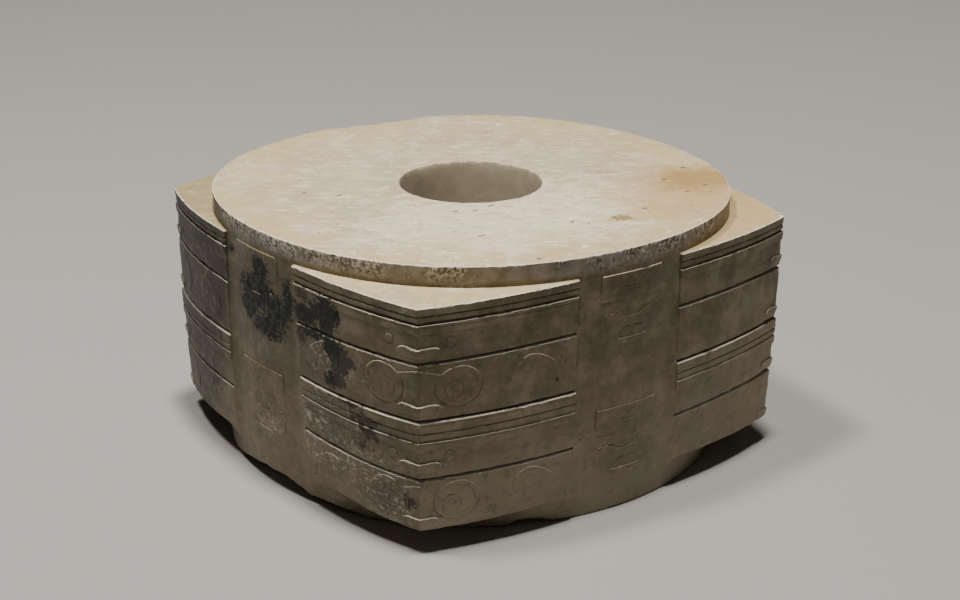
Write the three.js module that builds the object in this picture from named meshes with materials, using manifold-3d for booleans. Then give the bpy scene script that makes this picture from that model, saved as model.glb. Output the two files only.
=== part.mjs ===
// Jade cong, carved from one block of stone: a square-sided tube with a round bore and a low
// round collar at each end. Its four corners carry mask faces in four registers, and the upright
// groove in the middle of each side carries two small crowned figures, one above the other.
// Millimetres, +Z up, origin at the middle of the underside, front of the block towards -Y.

import * as THREE from 'three';
import { mergeVertices } from 'three/addons/utils/BufferGeometryUtils.js';
import Module from 'manifold-3d';

const wasm = await Module();
wasm.setup();

// Overall form
const TOTAL_HEIGHT = 89;
const UPPER_COLLAR_HEIGHT = 6.9;
const LOWER_COLLAR_HEIGHT = 7.4;
const UPPER_COLLAR_RADIUS = 86.9;
const COLLAR_TAPER = 3; // how much smaller the lower collar's radius is
const UPPER_SQUARENESS = 1.2; // how far a collar pulls in at the middle of each side
const LOWER_SQUARENESS = 0.6;
const COLLAR_EDGE = 0.6; // worn rounding of the collars' rims
const SIDE_SET_BACK = 1.9; // from the upper collar in to the middle of a bowed side
const SIDE_BOW = 9.8; // how much further back a side is at its corners than in its middle
const SIDE_POWER = 2.7; // how late a side turns in towards its corners
const SIDE_TAPER = 2; // how much a side leans in from the shoulder to the foot
const GROOVE_WIDTH = 42.2; // upright groove in the middle of each side

// Bore, drilled from both ends to a waist in the middle
const BORE_MOUTH_RADIUS = 23.6;
const BORE_WAIST_RADIUS = 19;
const BORE_LIP = 0.7; // worn rounding of the bore's mouths
const BORE_OVERRUN = 2; // how far the drill runs past each end

// Registers: the sides are cut across into four, each a share of the height of the sides
const REGISTER_SHARES = [0.237, 0.252, 0.258, 0.253];
const CUT_HEIGHT = 0.9;
const CUT_DEPTH = 1.5;
const BAND_RELIEF = 0.7; // how far the bands, and the nose bars below them, stand out
const BAND_EDGE = 0.3; // height of the slope at a band's edge
// Two bands cross the top of the first and third registers: where the upper one ends and the
// lower one starts and ends, down from the top of the register, as shares of its height
const BANDS = { 0: [0.13, 0.308, 0.463], 2: [0.218, 0.372, 0.5] };

// Wear and breaks. A corner is named by its place in the order right front, right back,
// left back, left front.
const CORNER_WEAR = [0, 0.5, 1.1, 0.4];
// Height worn off the lower edge: at the groove before the corner, at the corner, and at the
// groove after it, going round anticlockwise as seen from above
const FOOT_WEAR = [[3.8, 1.8, 2.5], [2.5, 2.2, 2.8], [2.8, 2.4, 4.6], [5.3, 0.3, 1.5]];
const FOOT_WEAR_SLOPE = 0.8; // how far in the wear reaches for each millimetre of its height
const LEFT_GROOVE_FLARE = 4.5; // how far the front edge of the left groove is worn back, at the foot

// Flakes struck off the collars' rims: angles in degrees anticlockwise from the right-hand side,
// depth measured in from the rim and height down or up from the end of the collar
const FLAKES = [
  { from: 63, deepest: 77, to: 97, depth: 5.6, height: 5.5, upper: true },
  { from: -119, deepest: -114, to: -105.5, depth: 6, height: 3.8, upper: false },
  { from: -214, deepest: -176, to: -160, depth: 11, height: 6.8, upper: false },
  { from: -171, deepest: -164, to: -140, depth: 6, height: 3.9, upper: false },
  { from: 104, deepest: 113, to: 126, depth: 4, height: 3, upper: false },
];

// Motifs on the corners. Widths and heights are shares of the register's height, and across is
// the share of the way from the corner to the groove.
const NOSE = { halfLength: 0.39, height: 0.14, rise: 0.045, up: 0.2 };
const ROUND_EYE = { across: 0.197, up: 0.333, radius: 0.1 };
const BEAST_EYE = { across: 0.235, up: 0.532, halfWidth: 0.385, halfHeight: 0.34 };
const PUPIL = { across: 0.205, up: 0.475, radius: 0.15 };
const BRIDGE = { halfLength: 0.42, top: 0.81, drop: 0.045, height: 0.2 };
const BIRD = { across: 0.685, up: 0.57, radius: 0.265, tail: 0.52 };
const EYE_RELIEF = 0.45; // above the field
const PUPIL_RELIEF = 0.7;
const MOTIF_ROOT = 10; // how deep a motif's prism starts inside the corner, before it is trimmed

// Figures in the grooves, as shares of half the groove's width and of the height of the sides.
// Their outlines are in half widths across and in heights down from the crown.
const FIGURE = { halfWidth: 0.6, height: 0.352 };
const FIGURE_RELIEF = 0.4;
const FEATURE_RELIEF = 0.7;
// Drop of each crown below the shoulder, as a share of the height of the sides, for the front,
// right, back and left sides
const FIGURE_DROPS = [[0.012, 0.618], [0.015, 0.57], [0.015, 0.57], [0.004, 0.542]];
const CROWN = [[0, 0], [0.93, 0], [0.98, -0.05], [0.98, -0.3], [0.62, -0.33], [0.5, -0.4],
  [0.3, -0.44], [0.22, -0.5], [0, -0.5]];
const BEAST = [[0, -0.56], [0.24, -0.56], [0.38, -0.5], [0.5, -0.465], [0.84, -0.5],
  [0.98, -0.6], [0.94, -0.78], [0.6, -0.86], [0.55, -0.98], [0, -1]];
const BEAST_PUPIL = { across: 0.58, down: 0.64, radius: 0.27 };
const BEAST_NOSE = [[0, -0.72], [0.16, -0.74], [0.22, -0.8], [0.46, -0.82], [0.46, -0.89],
  [0, -0.9]];

// Fineness of the curves
const COLLAR_STEPS = 64;
const BORE_STEPS = 40;
const SIDE_STEPS = 4;
const BEAST_EYE_STEPS = 12;
const SMALL_STEPS = 8;
const FLAKE_STEPS = 7;

const SHOULDER = TOTAL_HEIGHT - UPPER_COLLAR_HEIGHT;
const SIDE_HEIGHT = SHOULDER - LOWER_COLLAR_HEIGHT;
const LOWER_COLLAR_RADIUS = UPPER_COLLAR_RADIUS - COLLAR_TAPER;
const SIDE_REACH = UPPER_COLLAR_RADIUS - SIDE_SET_BACK; // axis to the middle of a side, at the shoulder
const CORNER_REACH = SIDE_REACH - SIDE_BOW; // axis to a corner, measured square to a side
const FIGURE_HALF_WIDTH = FIGURE.halfWidth * GROOVE_WIDTH / 2;
const FIGURE_HEIGHT = FIGURE.height * SIDE_HEIGHT;
const CORNERS = CORNER_WEAR.map((_, corner) => corner);
const SIDES = CORNERS.length;
const LEFT_FRONT = CORNERS.at(-1);
const UP = new THREE.Vector3(0, 0, 1);

// A closed mesh through rings of points, listed from the lowest ring up, each ring
// anticlockwise as seen from above. The two ends are fans about each ring's first point.
function loft(rings) {
  const size = rings[0].length;
  const index = [];
  for (let r = 0; r + 1 < rings.length; r++) {
    for (let i = 0; i < size; i++) {
      const a = r * size + i;
      const b = r * size + (i + 1) % size;
      index.push(a, b, b + size, a, b + size, a + size);
    }
  }
  const last = (rings.length - 1) * size;
  for (let i = 1; i + 1 < size; i++) {
    index.push(0, i + 1, i);
    index.push(last, last + i, last + i + 1);
  }
  const positions = rings.flat().flatMap((p) => [p.x, p.y, p.z]);
  const geometry = new THREE.BufferGeometry();
  geometry.setAttribute('position', new THREE.Float32BufferAttribute(positions, 3));
  geometry.setIndex(index);
  return geometry;
}

function solid(geometry) {
  const bare = geometry.clone();
  bare.deleteAttribute('normal');
  bare.deleteAttribute('uv');
  const merged = mergeVertices(bare);
  return new wasm.Manifold(new wasm.Mesh({
    numProp: 3,
    vertProperties: merged.attributes.position.array,
    triVerts: new Uint32Array(merged.index.array),
  }));
}

// The outward direction of a side, counted anticlockwise from the front
function sideNormal(side) {
  const turn = (side - 1) * Math.PI / 2;
  return new THREE.Vector3(Math.round(Math.cos(turn)), Math.round(Math.sin(turn)), 0);
}

// Round core: the two collars and, between them, the floors of the four grooves
function collarRadius(angle, z) {
  const share = z / TOTAL_HEIGHT;
  const mean = LOWER_COLLAR_RADIUS + (UPPER_COLLAR_RADIUS - LOWER_COLLAR_RADIUS) * share;
  const squareness = LOWER_SQUARENESS + (UPPER_SQUARENESS - LOWER_SQUARENESS) * share;
  return mean - squareness * Math.cos(SIDES * angle);
}

function collarRing(z, growth) {
  return Array.from({ length: COLLAR_STEPS }, (_, i) => {
    const angle = 2 * Math.PI * i / COLLAR_STEPS;
    const radius = collarRadius(angle, z) + growth;
    return new THREE.Vector3(radius * Math.cos(angle), radius * Math.sin(angle), z);
  });
}

function core() {
  return solid(loft([
    collarRing(0, -COLLAR_EDGE),
    collarRing(COLLAR_EDGE, 0),
    collarRing(TOTAL_HEIGHT - COLLAR_EDGE, 0),
    collarRing(TOTAL_HEIGHT, -COLLAR_EDGE),
  ]));
}

function bore() {
  const slope = (BORE_MOUTH_RADIUS - BORE_WAIST_RADIUS) / (TOTAL_HEIGHT / 2);
  const ring = (z, radius) => Array.from({ length: BORE_STEPS }, (_, i) => {
    const angle = 2 * Math.PI * i / BORE_STEPS;
    return new THREE.Vector3(radius * Math.cos(angle), radius * Math.sin(angle), z);
  });
  const lip = BORE_MOUTH_RADIUS + BORE_LIP;
  const wall = BORE_MOUTH_RADIUS - slope * BORE_LIP;
  return solid(loft([
    ring(-BORE_OVERRUN, lip),
    ring(0, lip),
    ring(BORE_LIP, wall),
    ring(TOTAL_HEIGHT / 2, BORE_WAIST_RADIUS),
    ring(TOTAL_HEIGHT - BORE_LIP, wall),
    ring(TOTAL_HEIGHT, lip),
    ring(TOTAL_HEIGHT + BORE_OVERRUN, lip),
  ]));
}

// Corner blocks. Corner k stands between sides k and k + 1.
function cornerTip(corner) {
  return CORNER_REACH - CORNER_WEAR[corner];
}

function sideDepth(along, tip, inset) {
  const bow = SIDE_REACH - inset - tip;
  return SIDE_REACH - inset - bow * (along / tip) ** SIDE_POWER;
}

function taper(z) {
  return SIDE_TAPER * ((SHOULDER - z) / SHOULDER) ** 2;
}

// Half the width of the groove beside a corner, towards one hand: before it or after it
function grooveEdge(corner, share, z) {
  const worn = corner === LEFT_FRONT && share < 0 ? LEFT_GROOVE_FLARE : 0;
  return GROOVE_WIDTH / 2 + worn * (SHOULDER - z) / SIDE_HEIGHT;
}

// One level of a corner block: its heel in the core, then the face of side k from the groove to
// the corner, then the face of side k + 1 back to the next groove
function cornerRing(corner, inset, levelAt) {
  const first = sideNormal(corner);
  const second = sideNormal((corner + 1) % SIDES);
  const heel = GROOVE_WIDTH / 2;
  const point = (a, b, share) => {
    const p = first.clone().multiplyScalar(a).addScaledVector(second, b);
    p.z = levelAt(share);
    return p;
  };
  const tip = cornerTip(corner) - inset;
  const ring = [point(heel, heel, 0)];
  for (let i = 0; i <= 2 * SIDE_STEPS; i++) {
    const share = i / SIDE_STEPS - 1; // -1 at the first groove, 0 at the corner, 1 at the next
    const along = tip - (tip - grooveEdge(corner, share, levelAt(share))) * Math.abs(share);
    const depth = sideDepth(along, tip, inset);
    ring.push(share < 0 ? point(depth, along, share) : point(along, depth, share));
  }
  return ring;
}

function footWear(corner, share) {
  const [before, middle, after] = FOOT_WEAR[corner];
  return middle + ((share < 0 ? before : after) - middle) * Math.abs(share);
}

// levels lists height and inset from the top down
function cornerBlock(corner, levels) {
  const rings = levels.map(([z, inset]) => cornerRing(corner, inset + taper(z), () => z));
  const lowest = levels[levels.length - 1][1] + taper(LOWER_COLLAR_HEIGHT);
  const greatest = Math.max(...FOOT_WEAR[corner]);
  rings.push(cornerRing(corner, lowest, (share) => LOWER_COLLAR_HEIGHT + footWear(corner, share)));
  const slope = FOOT_WEAR_SLOPE * greatest;
  rings.push(cornerRing(corner, lowest + slope, () => LOWER_COLLAR_HEIGHT));
  return solid(loft(rings.reverse()));
}

// Registers, from the shoulder down
const registers = REGISTER_SHARES.map((share, i) => {
  const above = REGISTER_SHARES.slice(0, i).reduce((sum, s) => sum + s, 0);
  const total = REGISTER_SHARES.reduce((sum, s) => sum + s, 0);
  const top = SHOULDER - SIDE_HEIGHT * above / total;
  const height = SIDE_HEIGHT * share / total;
  return { number: i, top, height, bottom: top - height, banded: i in BANDS };
});

function registerLevels({ number, top, height, bottom, banded }) {
  const start = number === 0 ? top : top - CUT_HEIGHT / 2;
  const down = (share) => top - share * height;
  const levels = [];
  if (banded) {
    levels.push([start, BAND_EDGE], [start - BAND_EDGE, 0]);
    const [upperEnd, lowerStart, lowerEnd] = BANDS[number].map(down);
    levels.push([upperEnd, 0], [upperEnd - BAND_EDGE, BAND_RELIEF]);
    levels.push([lowerStart + BAND_EDGE, BAND_RELIEF], [lowerStart, 0]);
    levels.push([lowerEnd, 0], [lowerEnd - BAND_EDGE, BAND_RELIEF]);
  } else {
    levels.push([start, BAND_RELIEF + BAND_EDGE], [start - BAND_EDGE, BAND_RELIEF]);
  }
  if (number < registers.length - 1) {
    const edge = bottom + CUT_HEIGHT / 2;
    levels.push([edge, BAND_RELIEF]);
    levels.push([edge - CUT_HEIGHT / 3, CUT_DEPTH], [edge - 2 * CUT_HEIGHT / 3, CUT_DEPTH]);
  }
  return levels;
}

function plainBlocks(inset) {
  const levels = registers.map(({ top }) => [top, inset]);
  return wasm.Manifold.union(CORNERS.map((corner) => cornerBlock(corner, levels)));
}

// Carved motifs start as prisms that stand on a side, and are trimmed to a skin that follows it.
// An outline runs across the side, to the right as seen from outside, and up.
function prism(side, outline) {
  const shape = new THREE.Shape(outline.map(([across, z]) => new THREE.Vector2(across, z)));
  const out = sideNormal(side);
  const across = sideNormal((side + 1) % SIDES);
  const inside = CORNER_REACH - MOTIF_ROOT;
  const depth = Math.max(UPPER_COLLAR_RADIUS, SIDE_REACH) + MOTIF_ROOT - inside;
  const geometry = new THREE.ExtrudeGeometry(shape, { depth, bevelEnabled: false });
  const place = new THREE.Matrix4().makeBasis(across, UP, out);
  geometry.applyMatrix4(place.setPosition(out.multiplyScalar(inside)));
  return solid(geometry);
}

function ellipse(across, z, halfWidth, halfHeight, steps) {
  return Array.from({ length: steps }, (_, i) => {
    const angle = 2 * Math.PI * (i + 0.5) / steps;
    return [across + halfWidth * Math.cos(angle), z + halfHeight * Math.sin(angle)];
  });
}

const mirrored = (outline) => outline.map(([across, z]) => [-across, z]);

// Calls make(tip, width) for each corner and stands its outlines on both sides of it: tip is how
// far along a side the corner stands, and width is the way from it to the groove. Outlines are
// drawn for the side before the corner, and mirrored on the side after it.
function onCorners(make) {
  const prisms = [];
  for (const corner of CORNERS) {
    const tip = cornerTip(corner);
    const width = tip - GROOVE_WIDTH / 2;
    for (const outline of make(tip, width)) {
      prisms.push(prism(corner, outline));
      prisms.push(prism((corner + 1) % SIDES, mirrored(outline)));
    }
  }
  return prisms;
}

function noseOutline(tip, { height, bottom }) {
  const top = bottom + NOSE.up * height;
  const inner = tip - NOSE.halfLength * height;
  const outer = tip + NOSE.height * height;
  const rise = NOSE.rise * height;
  const thick = NOSE.height * height;
  return [[inner, top + rise - thick], [outer, top - thick], [outer, top], [tip, top],
    [inner, top + rise]];
}

function bridgeOutline(tip, { height, bottom }) {
  const top = bottom + BRIDGE.top * height;
  const inner = tip - BRIDGE.halfLength * height;
  const outer = tip + BRIDGE.drop * height;
  const thick = BRIDGE.height * height;
  return [[inner, top - BRIDGE.drop * height - thick], [outer, top - thick], [outer, top],
    [tip, top], [inner, top - BRIDGE.drop * height]];
}

function birdOutline(tip, width, { height, bottom }) {
  const across = tip - BIRD.across * width;
  const z = bottom + BIRD.up * height;
  const radius = BIRD.radius * height;
  const tail = across - BIRD.tail * height;
  const body = ellipse(across, z, radius, radius, SMALL_STEPS);
  const kept = body.filter(([x]) => x > across - radius * 0.7);
  const lower = [tail, z - radius * 0.95];
  const upper = [tail, z - radius * 0.1];
  const turn = kept.findIndex(([x, y], i) => i > 0 && y > z && x < across);
  kept.splice(turn + 1, 0, upper, lower);
  return kept;
}

function noses() {
  return onCorners((tip) => registers.map((register) => noseOutline(tip, register)));
}

function eyes() {
  return onCorners((tip, width) => registers.flatMap((register) => {
    const { height, bottom, banded } = register;
    if (banded) {
      const radius = ROUND_EYE.radius * height;
      const across = tip - ROUND_EYE.across * width;
      return [ellipse(across, bottom + ROUND_EYE.up * height, radius, radius, SMALL_STEPS)];
    }
    return [
      ellipse(tip - BEAST_EYE.across * width, bottom + BEAST_EYE.up * height,
        BEAST_EYE.halfWidth * height, BEAST_EYE.halfHeight * height, BEAST_EYE_STEPS),
      bridgeOutline(tip, register),
      birdOutline(tip, width, register),
    ];
  }));
}

function pupils() {
  return onCorners((tip, width) => registers.filter(({ banded }) => !banded)
    .map(({ height, bottom }) => ellipse(tip - PUPIL.across * width,
      bottom + PUPIL.up * height, PUPIL.radius * height, PUPIL.radius * height, SMALL_STEPS)));
}

// Calls make(place) for each figure: place turns a point of a half outline into millimetres
// across the side and up
function onGrooves(make) {
  return FIGURE_DROPS.flatMap((drops, side) => drops.flatMap((drop) => {
    const crown = SHOULDER - drop * SIDE_HEIGHT;
    const place = ([x, down]) => [x * FIGURE_HALF_WIDTH, crown + down * FIGURE_HEIGHT];
    return make(place).map((outline) => prism(side, outline));
  }));
}

// A half outline starts and ends on the middle line and is listed down its right-hand side
function bothHalves(half, place) {
  const right = half.map(place);
  const left = right.slice(1, -1).map(([x, z]) => [-x, z]).reverse();
  return [...right, ...left];
}

function figures() {
  return onGrooves((place) => [bothHalves(CROWN, place), bothHalves(BEAST, place)]);
}

function figureFeatures() {
  return onGrooves((place) => {
    const radius = BEAST_PUPIL.radius * FIGURE_HALF_WIDTH;
    const pair = [-1, 1].map((hand) => {
      const [x, z] = place([hand * BEAST_PUPIL.across, -BEAST_PUPIL.down]);
      return ellipse(x, z, radius, radius, SMALL_STEPS);
    });
    return [...pair, bothHalves(BEAST_NOSE, place)];
  });
}

// A flake struck off a collar's rim: a wedge that deepens and fades again along the rim, and is
// deepest at the angle named deepest
function flake({ from, deepest, to, depth, height, upper }) {
  const edge = upper ? TOTAL_HEIGHT : 0;
  const way = upper ? 1 : -1;
  const clear = 3 * COLLAR_EDGE;
  const skew = Math.log(0.5) / Math.log((deepest - from) / (to - from));
  const rings = [];
  for (let i = 0; i <= FLAKE_STEPS; i++) {
    const share = i / FLAKE_STEPS;
    const angle = THREE.MathUtils.degToRad(from + (to - from) * share);
    const fade = 0.02 + 0.98 * Math.sin(Math.PI * share ** skew) ** 0.6;
    const outer = collarRadius(angle, edge) + clear;
    const point = (r, z) => new THREE.Vector3(r * Math.cos(angle), r * Math.sin(angle), z);
    const ring = [
      point(outer, edge + way * clear),
      point(outer - (depth + clear) * fade, edge + way * clear),
      point(outer, edge + way * (clear - (height + clear) * fade)),
    ];
    rings.push(upper ? [ring[0], ring[2], ring[1]] : ring);
  }
  return solid(loft(rings));
}

function cong() {
  const { union, intersection } = wasm.Manifold;
  const levels = registers.flatMap(registerLevels);
  const blocks = CORNERS.map((corner) => cornerBlock(corner, levels));
  const grown = (growth) => solid(loft([collarRing(LOWER_COLLAR_HEIGHT / 2, growth),
    collarRing(SHOULDER + UPPER_COLLAR_HEIGHT / 2, growth)]));
  const trimmed = (prisms, skin) => intersection(union(prisms), skin);
  const stone = union([
    core(),
    ...blocks,
    trimmed(noses(), plainBlocks(0)),
    trimmed(eyes(), plainBlocks(BAND_RELIEF - EYE_RELIEF)),
    trimmed(pupils(), plainBlocks(BAND_RELIEF - PUPIL_RELIEF)),
    trimmed(figures(), grown(FIGURE_RELIEF)),
    trimmed(figureFeatures(), grown(FEATURE_RELIEF)),
  ]);
  return stone.subtract(union([bore(), ...FLAKES.map(flake)])).simplify(0.02);
}

function meshOf(made, name, material) {
  const { vertProperties, triVerts, numProp } = made.getMesh();
  const positions = new Float32Array(vertProperties.length / numProp * 3);
  for (let i = 0; i < positions.length / 3; i++) {
    positions.set(vertProperties.subarray(i * numProp, i * numProp + 3), i * 3);
  }
  const geometry = new THREE.BufferGeometry();
  geometry.setAttribute('position', new THREE.BufferAttribute(positions, 3));
  geometry.setIndex(new THREE.BufferAttribute(new Uint32Array(triVerts), 1));
  geometry.computeVertexNormals();
  const mesh = new THREE.Mesh(geometry, material);
  mesh.name = name;
  return mesh;
}

const jade = new THREE.MeshStandardMaterial({ color: 0xb9ab90, roughness: 0.5, metalness: 0 });

const object = new THREE.Group();
object.add(meshOf(cong(), 'jade_cong', jade));

export default object;
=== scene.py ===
"""A jade cong: a square-sided block with a round bore and round collars, carved with masks and
figures, worn, chipped and stained. The block is one lattice of points that runs down the outside,
under the foot, up the bore and out across the top. Its reliefs are set in the lattice, its fine
lines are cut by a node tree, and its finish is one weathered stone material."""

import math
from types import SimpleNamespace

import bmesh
import bpy
import numpy as np
from bpy.props import FloatProperty, FloatVectorProperty, IntProperty, PointerProperty
from mathutils import Matrix, Vector
from mathutils.bvhtree import BVHTree


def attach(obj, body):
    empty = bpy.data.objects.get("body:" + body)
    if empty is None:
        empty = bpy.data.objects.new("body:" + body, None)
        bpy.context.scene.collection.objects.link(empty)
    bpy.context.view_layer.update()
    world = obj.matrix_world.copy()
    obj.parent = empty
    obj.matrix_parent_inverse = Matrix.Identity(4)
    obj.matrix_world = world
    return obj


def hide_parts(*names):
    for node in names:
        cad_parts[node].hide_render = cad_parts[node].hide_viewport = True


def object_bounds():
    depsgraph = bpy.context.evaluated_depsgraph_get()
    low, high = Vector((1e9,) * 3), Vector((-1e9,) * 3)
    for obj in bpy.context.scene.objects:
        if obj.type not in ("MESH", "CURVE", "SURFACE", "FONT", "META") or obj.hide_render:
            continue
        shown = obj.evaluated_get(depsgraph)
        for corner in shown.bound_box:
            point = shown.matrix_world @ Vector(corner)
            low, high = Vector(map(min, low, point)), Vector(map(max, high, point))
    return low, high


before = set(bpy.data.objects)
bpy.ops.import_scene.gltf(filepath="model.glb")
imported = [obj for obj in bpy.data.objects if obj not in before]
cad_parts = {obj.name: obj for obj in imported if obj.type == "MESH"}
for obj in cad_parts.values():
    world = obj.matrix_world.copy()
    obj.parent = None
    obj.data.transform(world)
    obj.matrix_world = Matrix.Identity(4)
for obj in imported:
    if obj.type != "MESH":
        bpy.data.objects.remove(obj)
CAD_LOW, CAD_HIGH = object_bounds()

bl_info = {
    "name": "Jade Cong",
    "version": (1, 0, 0),
    "blender": (4, 5, 0),
    "location": "View3D > Sidebar > Cong",
    "description": "Carves a worn jade cong with masks and figures, and sets its stage",
    "category": "Object",
}

NODE = "jade_cong"
MM = 0.001
SIDES = 4

# Form, in millimetres and shares, that a user has no need to change
COLLAR_SQUARENESS = (0.6, 1.2)  # how far the collars pull in at the middle of a side: foot, top
COLLAR_EDGE = 0.6  # height of the worn rounding of the collars' rims
RIM_ROWS = ((0.0, 0.35), (0.07, 0.14), (0.2, 0.03))  # its rows: how far down from the top, and in
HEEL_ROWS = ((0.3, 0.08), (0.08, 0.3), (0.0, COLLAR_EDGE))  # and at the foot: how high, and in
MARGIN = 0.08  # left at the top and foot for the unevenness of the faces
BORE_LIP = 0.25
BORE_FLARE = 0.8  # how much wider the bore's mouths have worn
BORE_CHAMFER = 0.1
BORE_ENDS = np.array([0, BORE_LIP, 0.7, 1.3])  # the bore's rows close to each end
BORE_START = 2  # from here in, its rows are evenly spaced
BORE_STEPS = 44
PANEL_CLEARANCE = 0.03  # the least that a panel stands out from the round core
FOOT_CLEARANCE = 0.02
EDGE_GAP = 0.2  # between a panel's edge and the groove's last column
GROOVE_DIP = 0.35  # how far a groove's rows are shifted down where they meet a collar
FOOT_BEND = 0.45  # the share of the lowest register that bends with its worn foot
CORNER_PULL = 0.03  # the share of a panel, next to its corner, that follows the corner's reliefs
FILLET_START = 0.78  # from here to its edge the groove's floor rises towards the panel
# The share of the step that it climbs, at the foot and at the top: at most edges, and at the
# crisper edge left of the front groove
FILLET_RISE = (0.97, 0.4)
CRISP_RISE = (0.7, 0.25)
FADE_HEIGHTS = (34.0, 80.0)  # the climb changes from the one share to the other between these
SIDE_POWER = 2.7  # how late a side turns in towards its corners
SIDE_TAPER = 2.0  # how much a side leans in from the shoulder to the foot
REGISTER_SHARES = (0.237, 0.252, 0.258, 0.253)
# Where things happen in a banded register, as shares of its height down from its top: the lines
# above and below the strip between the bands, and the start and end of the lower band
BANDS = {0: (0.160, 0.266, 0.314, 0.463), 2: (0.213, 0.323, 0.366, 0.5)}
BAND_EDGE = 0.25  # height of the slope at a band's edge
STRIP_INSET = {0: 0.22, 2: 0.12}
STRIP_GROOVE = {0: 0.75, 2: 0.45}
LINE_HEIGHT = 0.42
LINE_WALL = 0.1  # height of the slope at each edge of a line
LIP = 0.32  # the bevel on the lower edge of each cut

# Rows between two others, as shares of the way: over the shoulder and round the foot, in under
# the foot, across the foot's end and across the top
STEPS_ACROSS = (0.015, 0.06, 0.2, 0.4, 0.6, 0.8, 0.94, 0.985)
STEPS_UNDER = (0.06, 0.4, 0.8, 0.985)
STEPS_END = np.linspace(0, 1, 11)[1:-1]
STEPS_TOP = (0.004, 0.015, *np.linspace(0, 1, 22)[1:-1], 0.985, 0.996)

# Corners are counted right front, right back, left back, left front; sides front, right, back, left
CORNER_WEAR = (0.0, 0.5, 1.1, 0.4)
# How high the lower edge has worn up at each corner: at the groove before it, at the corner and at
# the groove after it
FOOT_WEAR = ((3.8, 1.8, 2.5), (2.5, 2.2, 2.8), (2.8, 2.4, 4.6), (5.3, 0.3, 1.5))
FOOT_WEAR_SLOPE = 0.8  # how far in the wear reaches for each millimetre of its height
GROOVE_FLARE = 4.5  # the front edge of the left groove, at the foot
# How far the rim and each cut wander up from their true height, at the corners, at the grooves'
# edges and midway between
CORNER_SWAY = ((-0.1, -0.3, -0.4, -0.55), (-0.1, 0.0, 0.3, -0.85), (0.3, 0.2, -0.3, -0.7),
               (0.5, 0.3, 0.0, -1.1))
GROOVE_SWAY = (
    ((0.0, 0.0), (0.0, 0.0), (0.0, 0.0), (0.0, 0.0)),
    ((0.2, -0.2), (0.2, 0.1), (-0.2, 0.1), (0.3, -0.8)),
    ((-0.35, -0.65), (-0.2, 0.3), (0.2, 0.1), (0.4, 0.1)),
    ((-0.8, -0.5), (0.4, -0.2), (-0.3, 0.2), (0.6, 1.4)),
)
MIDWAY_SWAY = (
    ((0.0, 0.0), (0.0, 0.0), (0.0, 0.0), (0.0, 0.0)),
    ((0.13, 0.3), (0.1, 0.2), (-0.1, 0.1), (0.1, 0.0)),
    ((0.0, 0.13), (0.2, -0.1), (0.1, 0.2), (0.0, -0.37)),
    ((0.05, 0.25), (-0.2, 0.1), (0.1, 0.2), (0.0, -0.5)),
)
# Flakes struck off the rims: degrees from, deepest and to, depth, height, and whether it's the top
FLAKES = (
    (63, 77, 97, 5.6, 5.5, True),
    (-119, -114, -105.5, 6.0, 3.8, False),
    (-214, -176, -160, 11.0, 6.8, False),
    (-171, -164, -140, 6.0, 3.9, False),
    (104, 113, 126, 4.0, 3.0, False),
)

# Reliefs on the corners, as shares of a register's height and of the way from corner to groove
NOSE = SimpleNamespace(half=0.41, height=0.14, rise=0.03, up=0.215)
ROUND_EYE = SimpleNamespace(across=0.197, up=0.32, radius=0.075)
BEAST_EYE = SimpleNamespace(across=0.243, up=0.515, wide=0.385, high=0.345)
PUPIL = SimpleNamespace(across=0.205, up=0.475)
BRIDGE = SimpleNamespace(half=0.4, top=0.862, drop=0.115, height=0.2)
BIRD = SimpleNamespace(across=0.685, up=0.57, radius=0.265)
BIRD_OUTLINE = ((0.93, -0.4), (1.0, 0.0), (0.9, 0.45), (0.62, 0.8), (0.25, 0.99), (-0.1, 1.03),
                (-0.6, 0.93), (-1.2, 0.65), (-1.7, 0.28), (-2.0, -0.2), (-2.05, -0.65),
                (-1.9, -1.0), (-1.2, -1.08), (-0.4, -1.04), (0.3, -0.93), (0.7, -0.72))
EYE_INSET = 0.22
CARVING_LEFT = (0.35, 0.7, 0.6, 1.0)  # how much of each corner's eyes and birds wear has left
# Figures in the grooves: half their width as a share of the groove's, their height and how far
# down each stands as shares of the side's, and half their outlines, in halves and heights
FIGURE = SimpleNamespace(half=0.6, height=0.352)
FIGURE_DROPS = ((0.012, 0.618), (0.015, 0.57), (0.015, 0.57), (0.004, 0.542))
FIGURE_RAISE = 0.3
FEATURE_RAISE = 0.5
CROWN = ((0, 0), (0.93, 0), (0.98, -0.05), (0.98, -0.3), (0.62, -0.33), (0.5, -0.4),
         (0.3, -0.44), (0.22, -0.5), (0, -0.5))
BEAST = ((0, -0.56), (0.24, -0.56), (0.38, -0.5), (0.5, -0.465), (0.84, -0.5), (0.98, -0.6),
         (0.94, -0.78), (0.6, -0.86), (0.55, -0.98), (0, -1))
BEAST_NOSE = ((0, -0.83), (0.36, -0.83), (0.46, -0.81), (0.47, -0.87), (0.3, -0.9), (0, -0.9))

# Engraving: the spacing of points along a line, how far out from a side the lines are cast onto it
# from, and how near a line the block's points are drawn onto it and beside it, in spacings
LINE_STEP = 0.45
CAST_FROM = 6
ON_LINE = 0.56
BESIDE_LINE = 1.5

# The stage, in metres: each light's name, place, target, size and colour, and the photo's camera
LIGHTS = (
    ("key", (-0.05, -0.22, 3.0), (0, 0, 0), 0.36, (1.0, 0.96, 0.9)),
    ("side", (-0.255, 0.065, 0.90), (0, 0, 0), 0.14, (1.0, 0.95, 0.88)),
    ("fill", (-0.9, -1.4, 0.7), (0, 0, 0.04), 1.2, (1.0, 0.97, 0.93)),
)
AIR_COLOUR = (1.0, 0.97, 0.93, 1)
CAMERA_PLACE = (-0.37835, -0.51332, 0.28179)
CAMERA_TURN = (36.69, 20.31, 0.20)  # degrees round, down and rolled
CAMERA_LENS = 73.11


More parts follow.
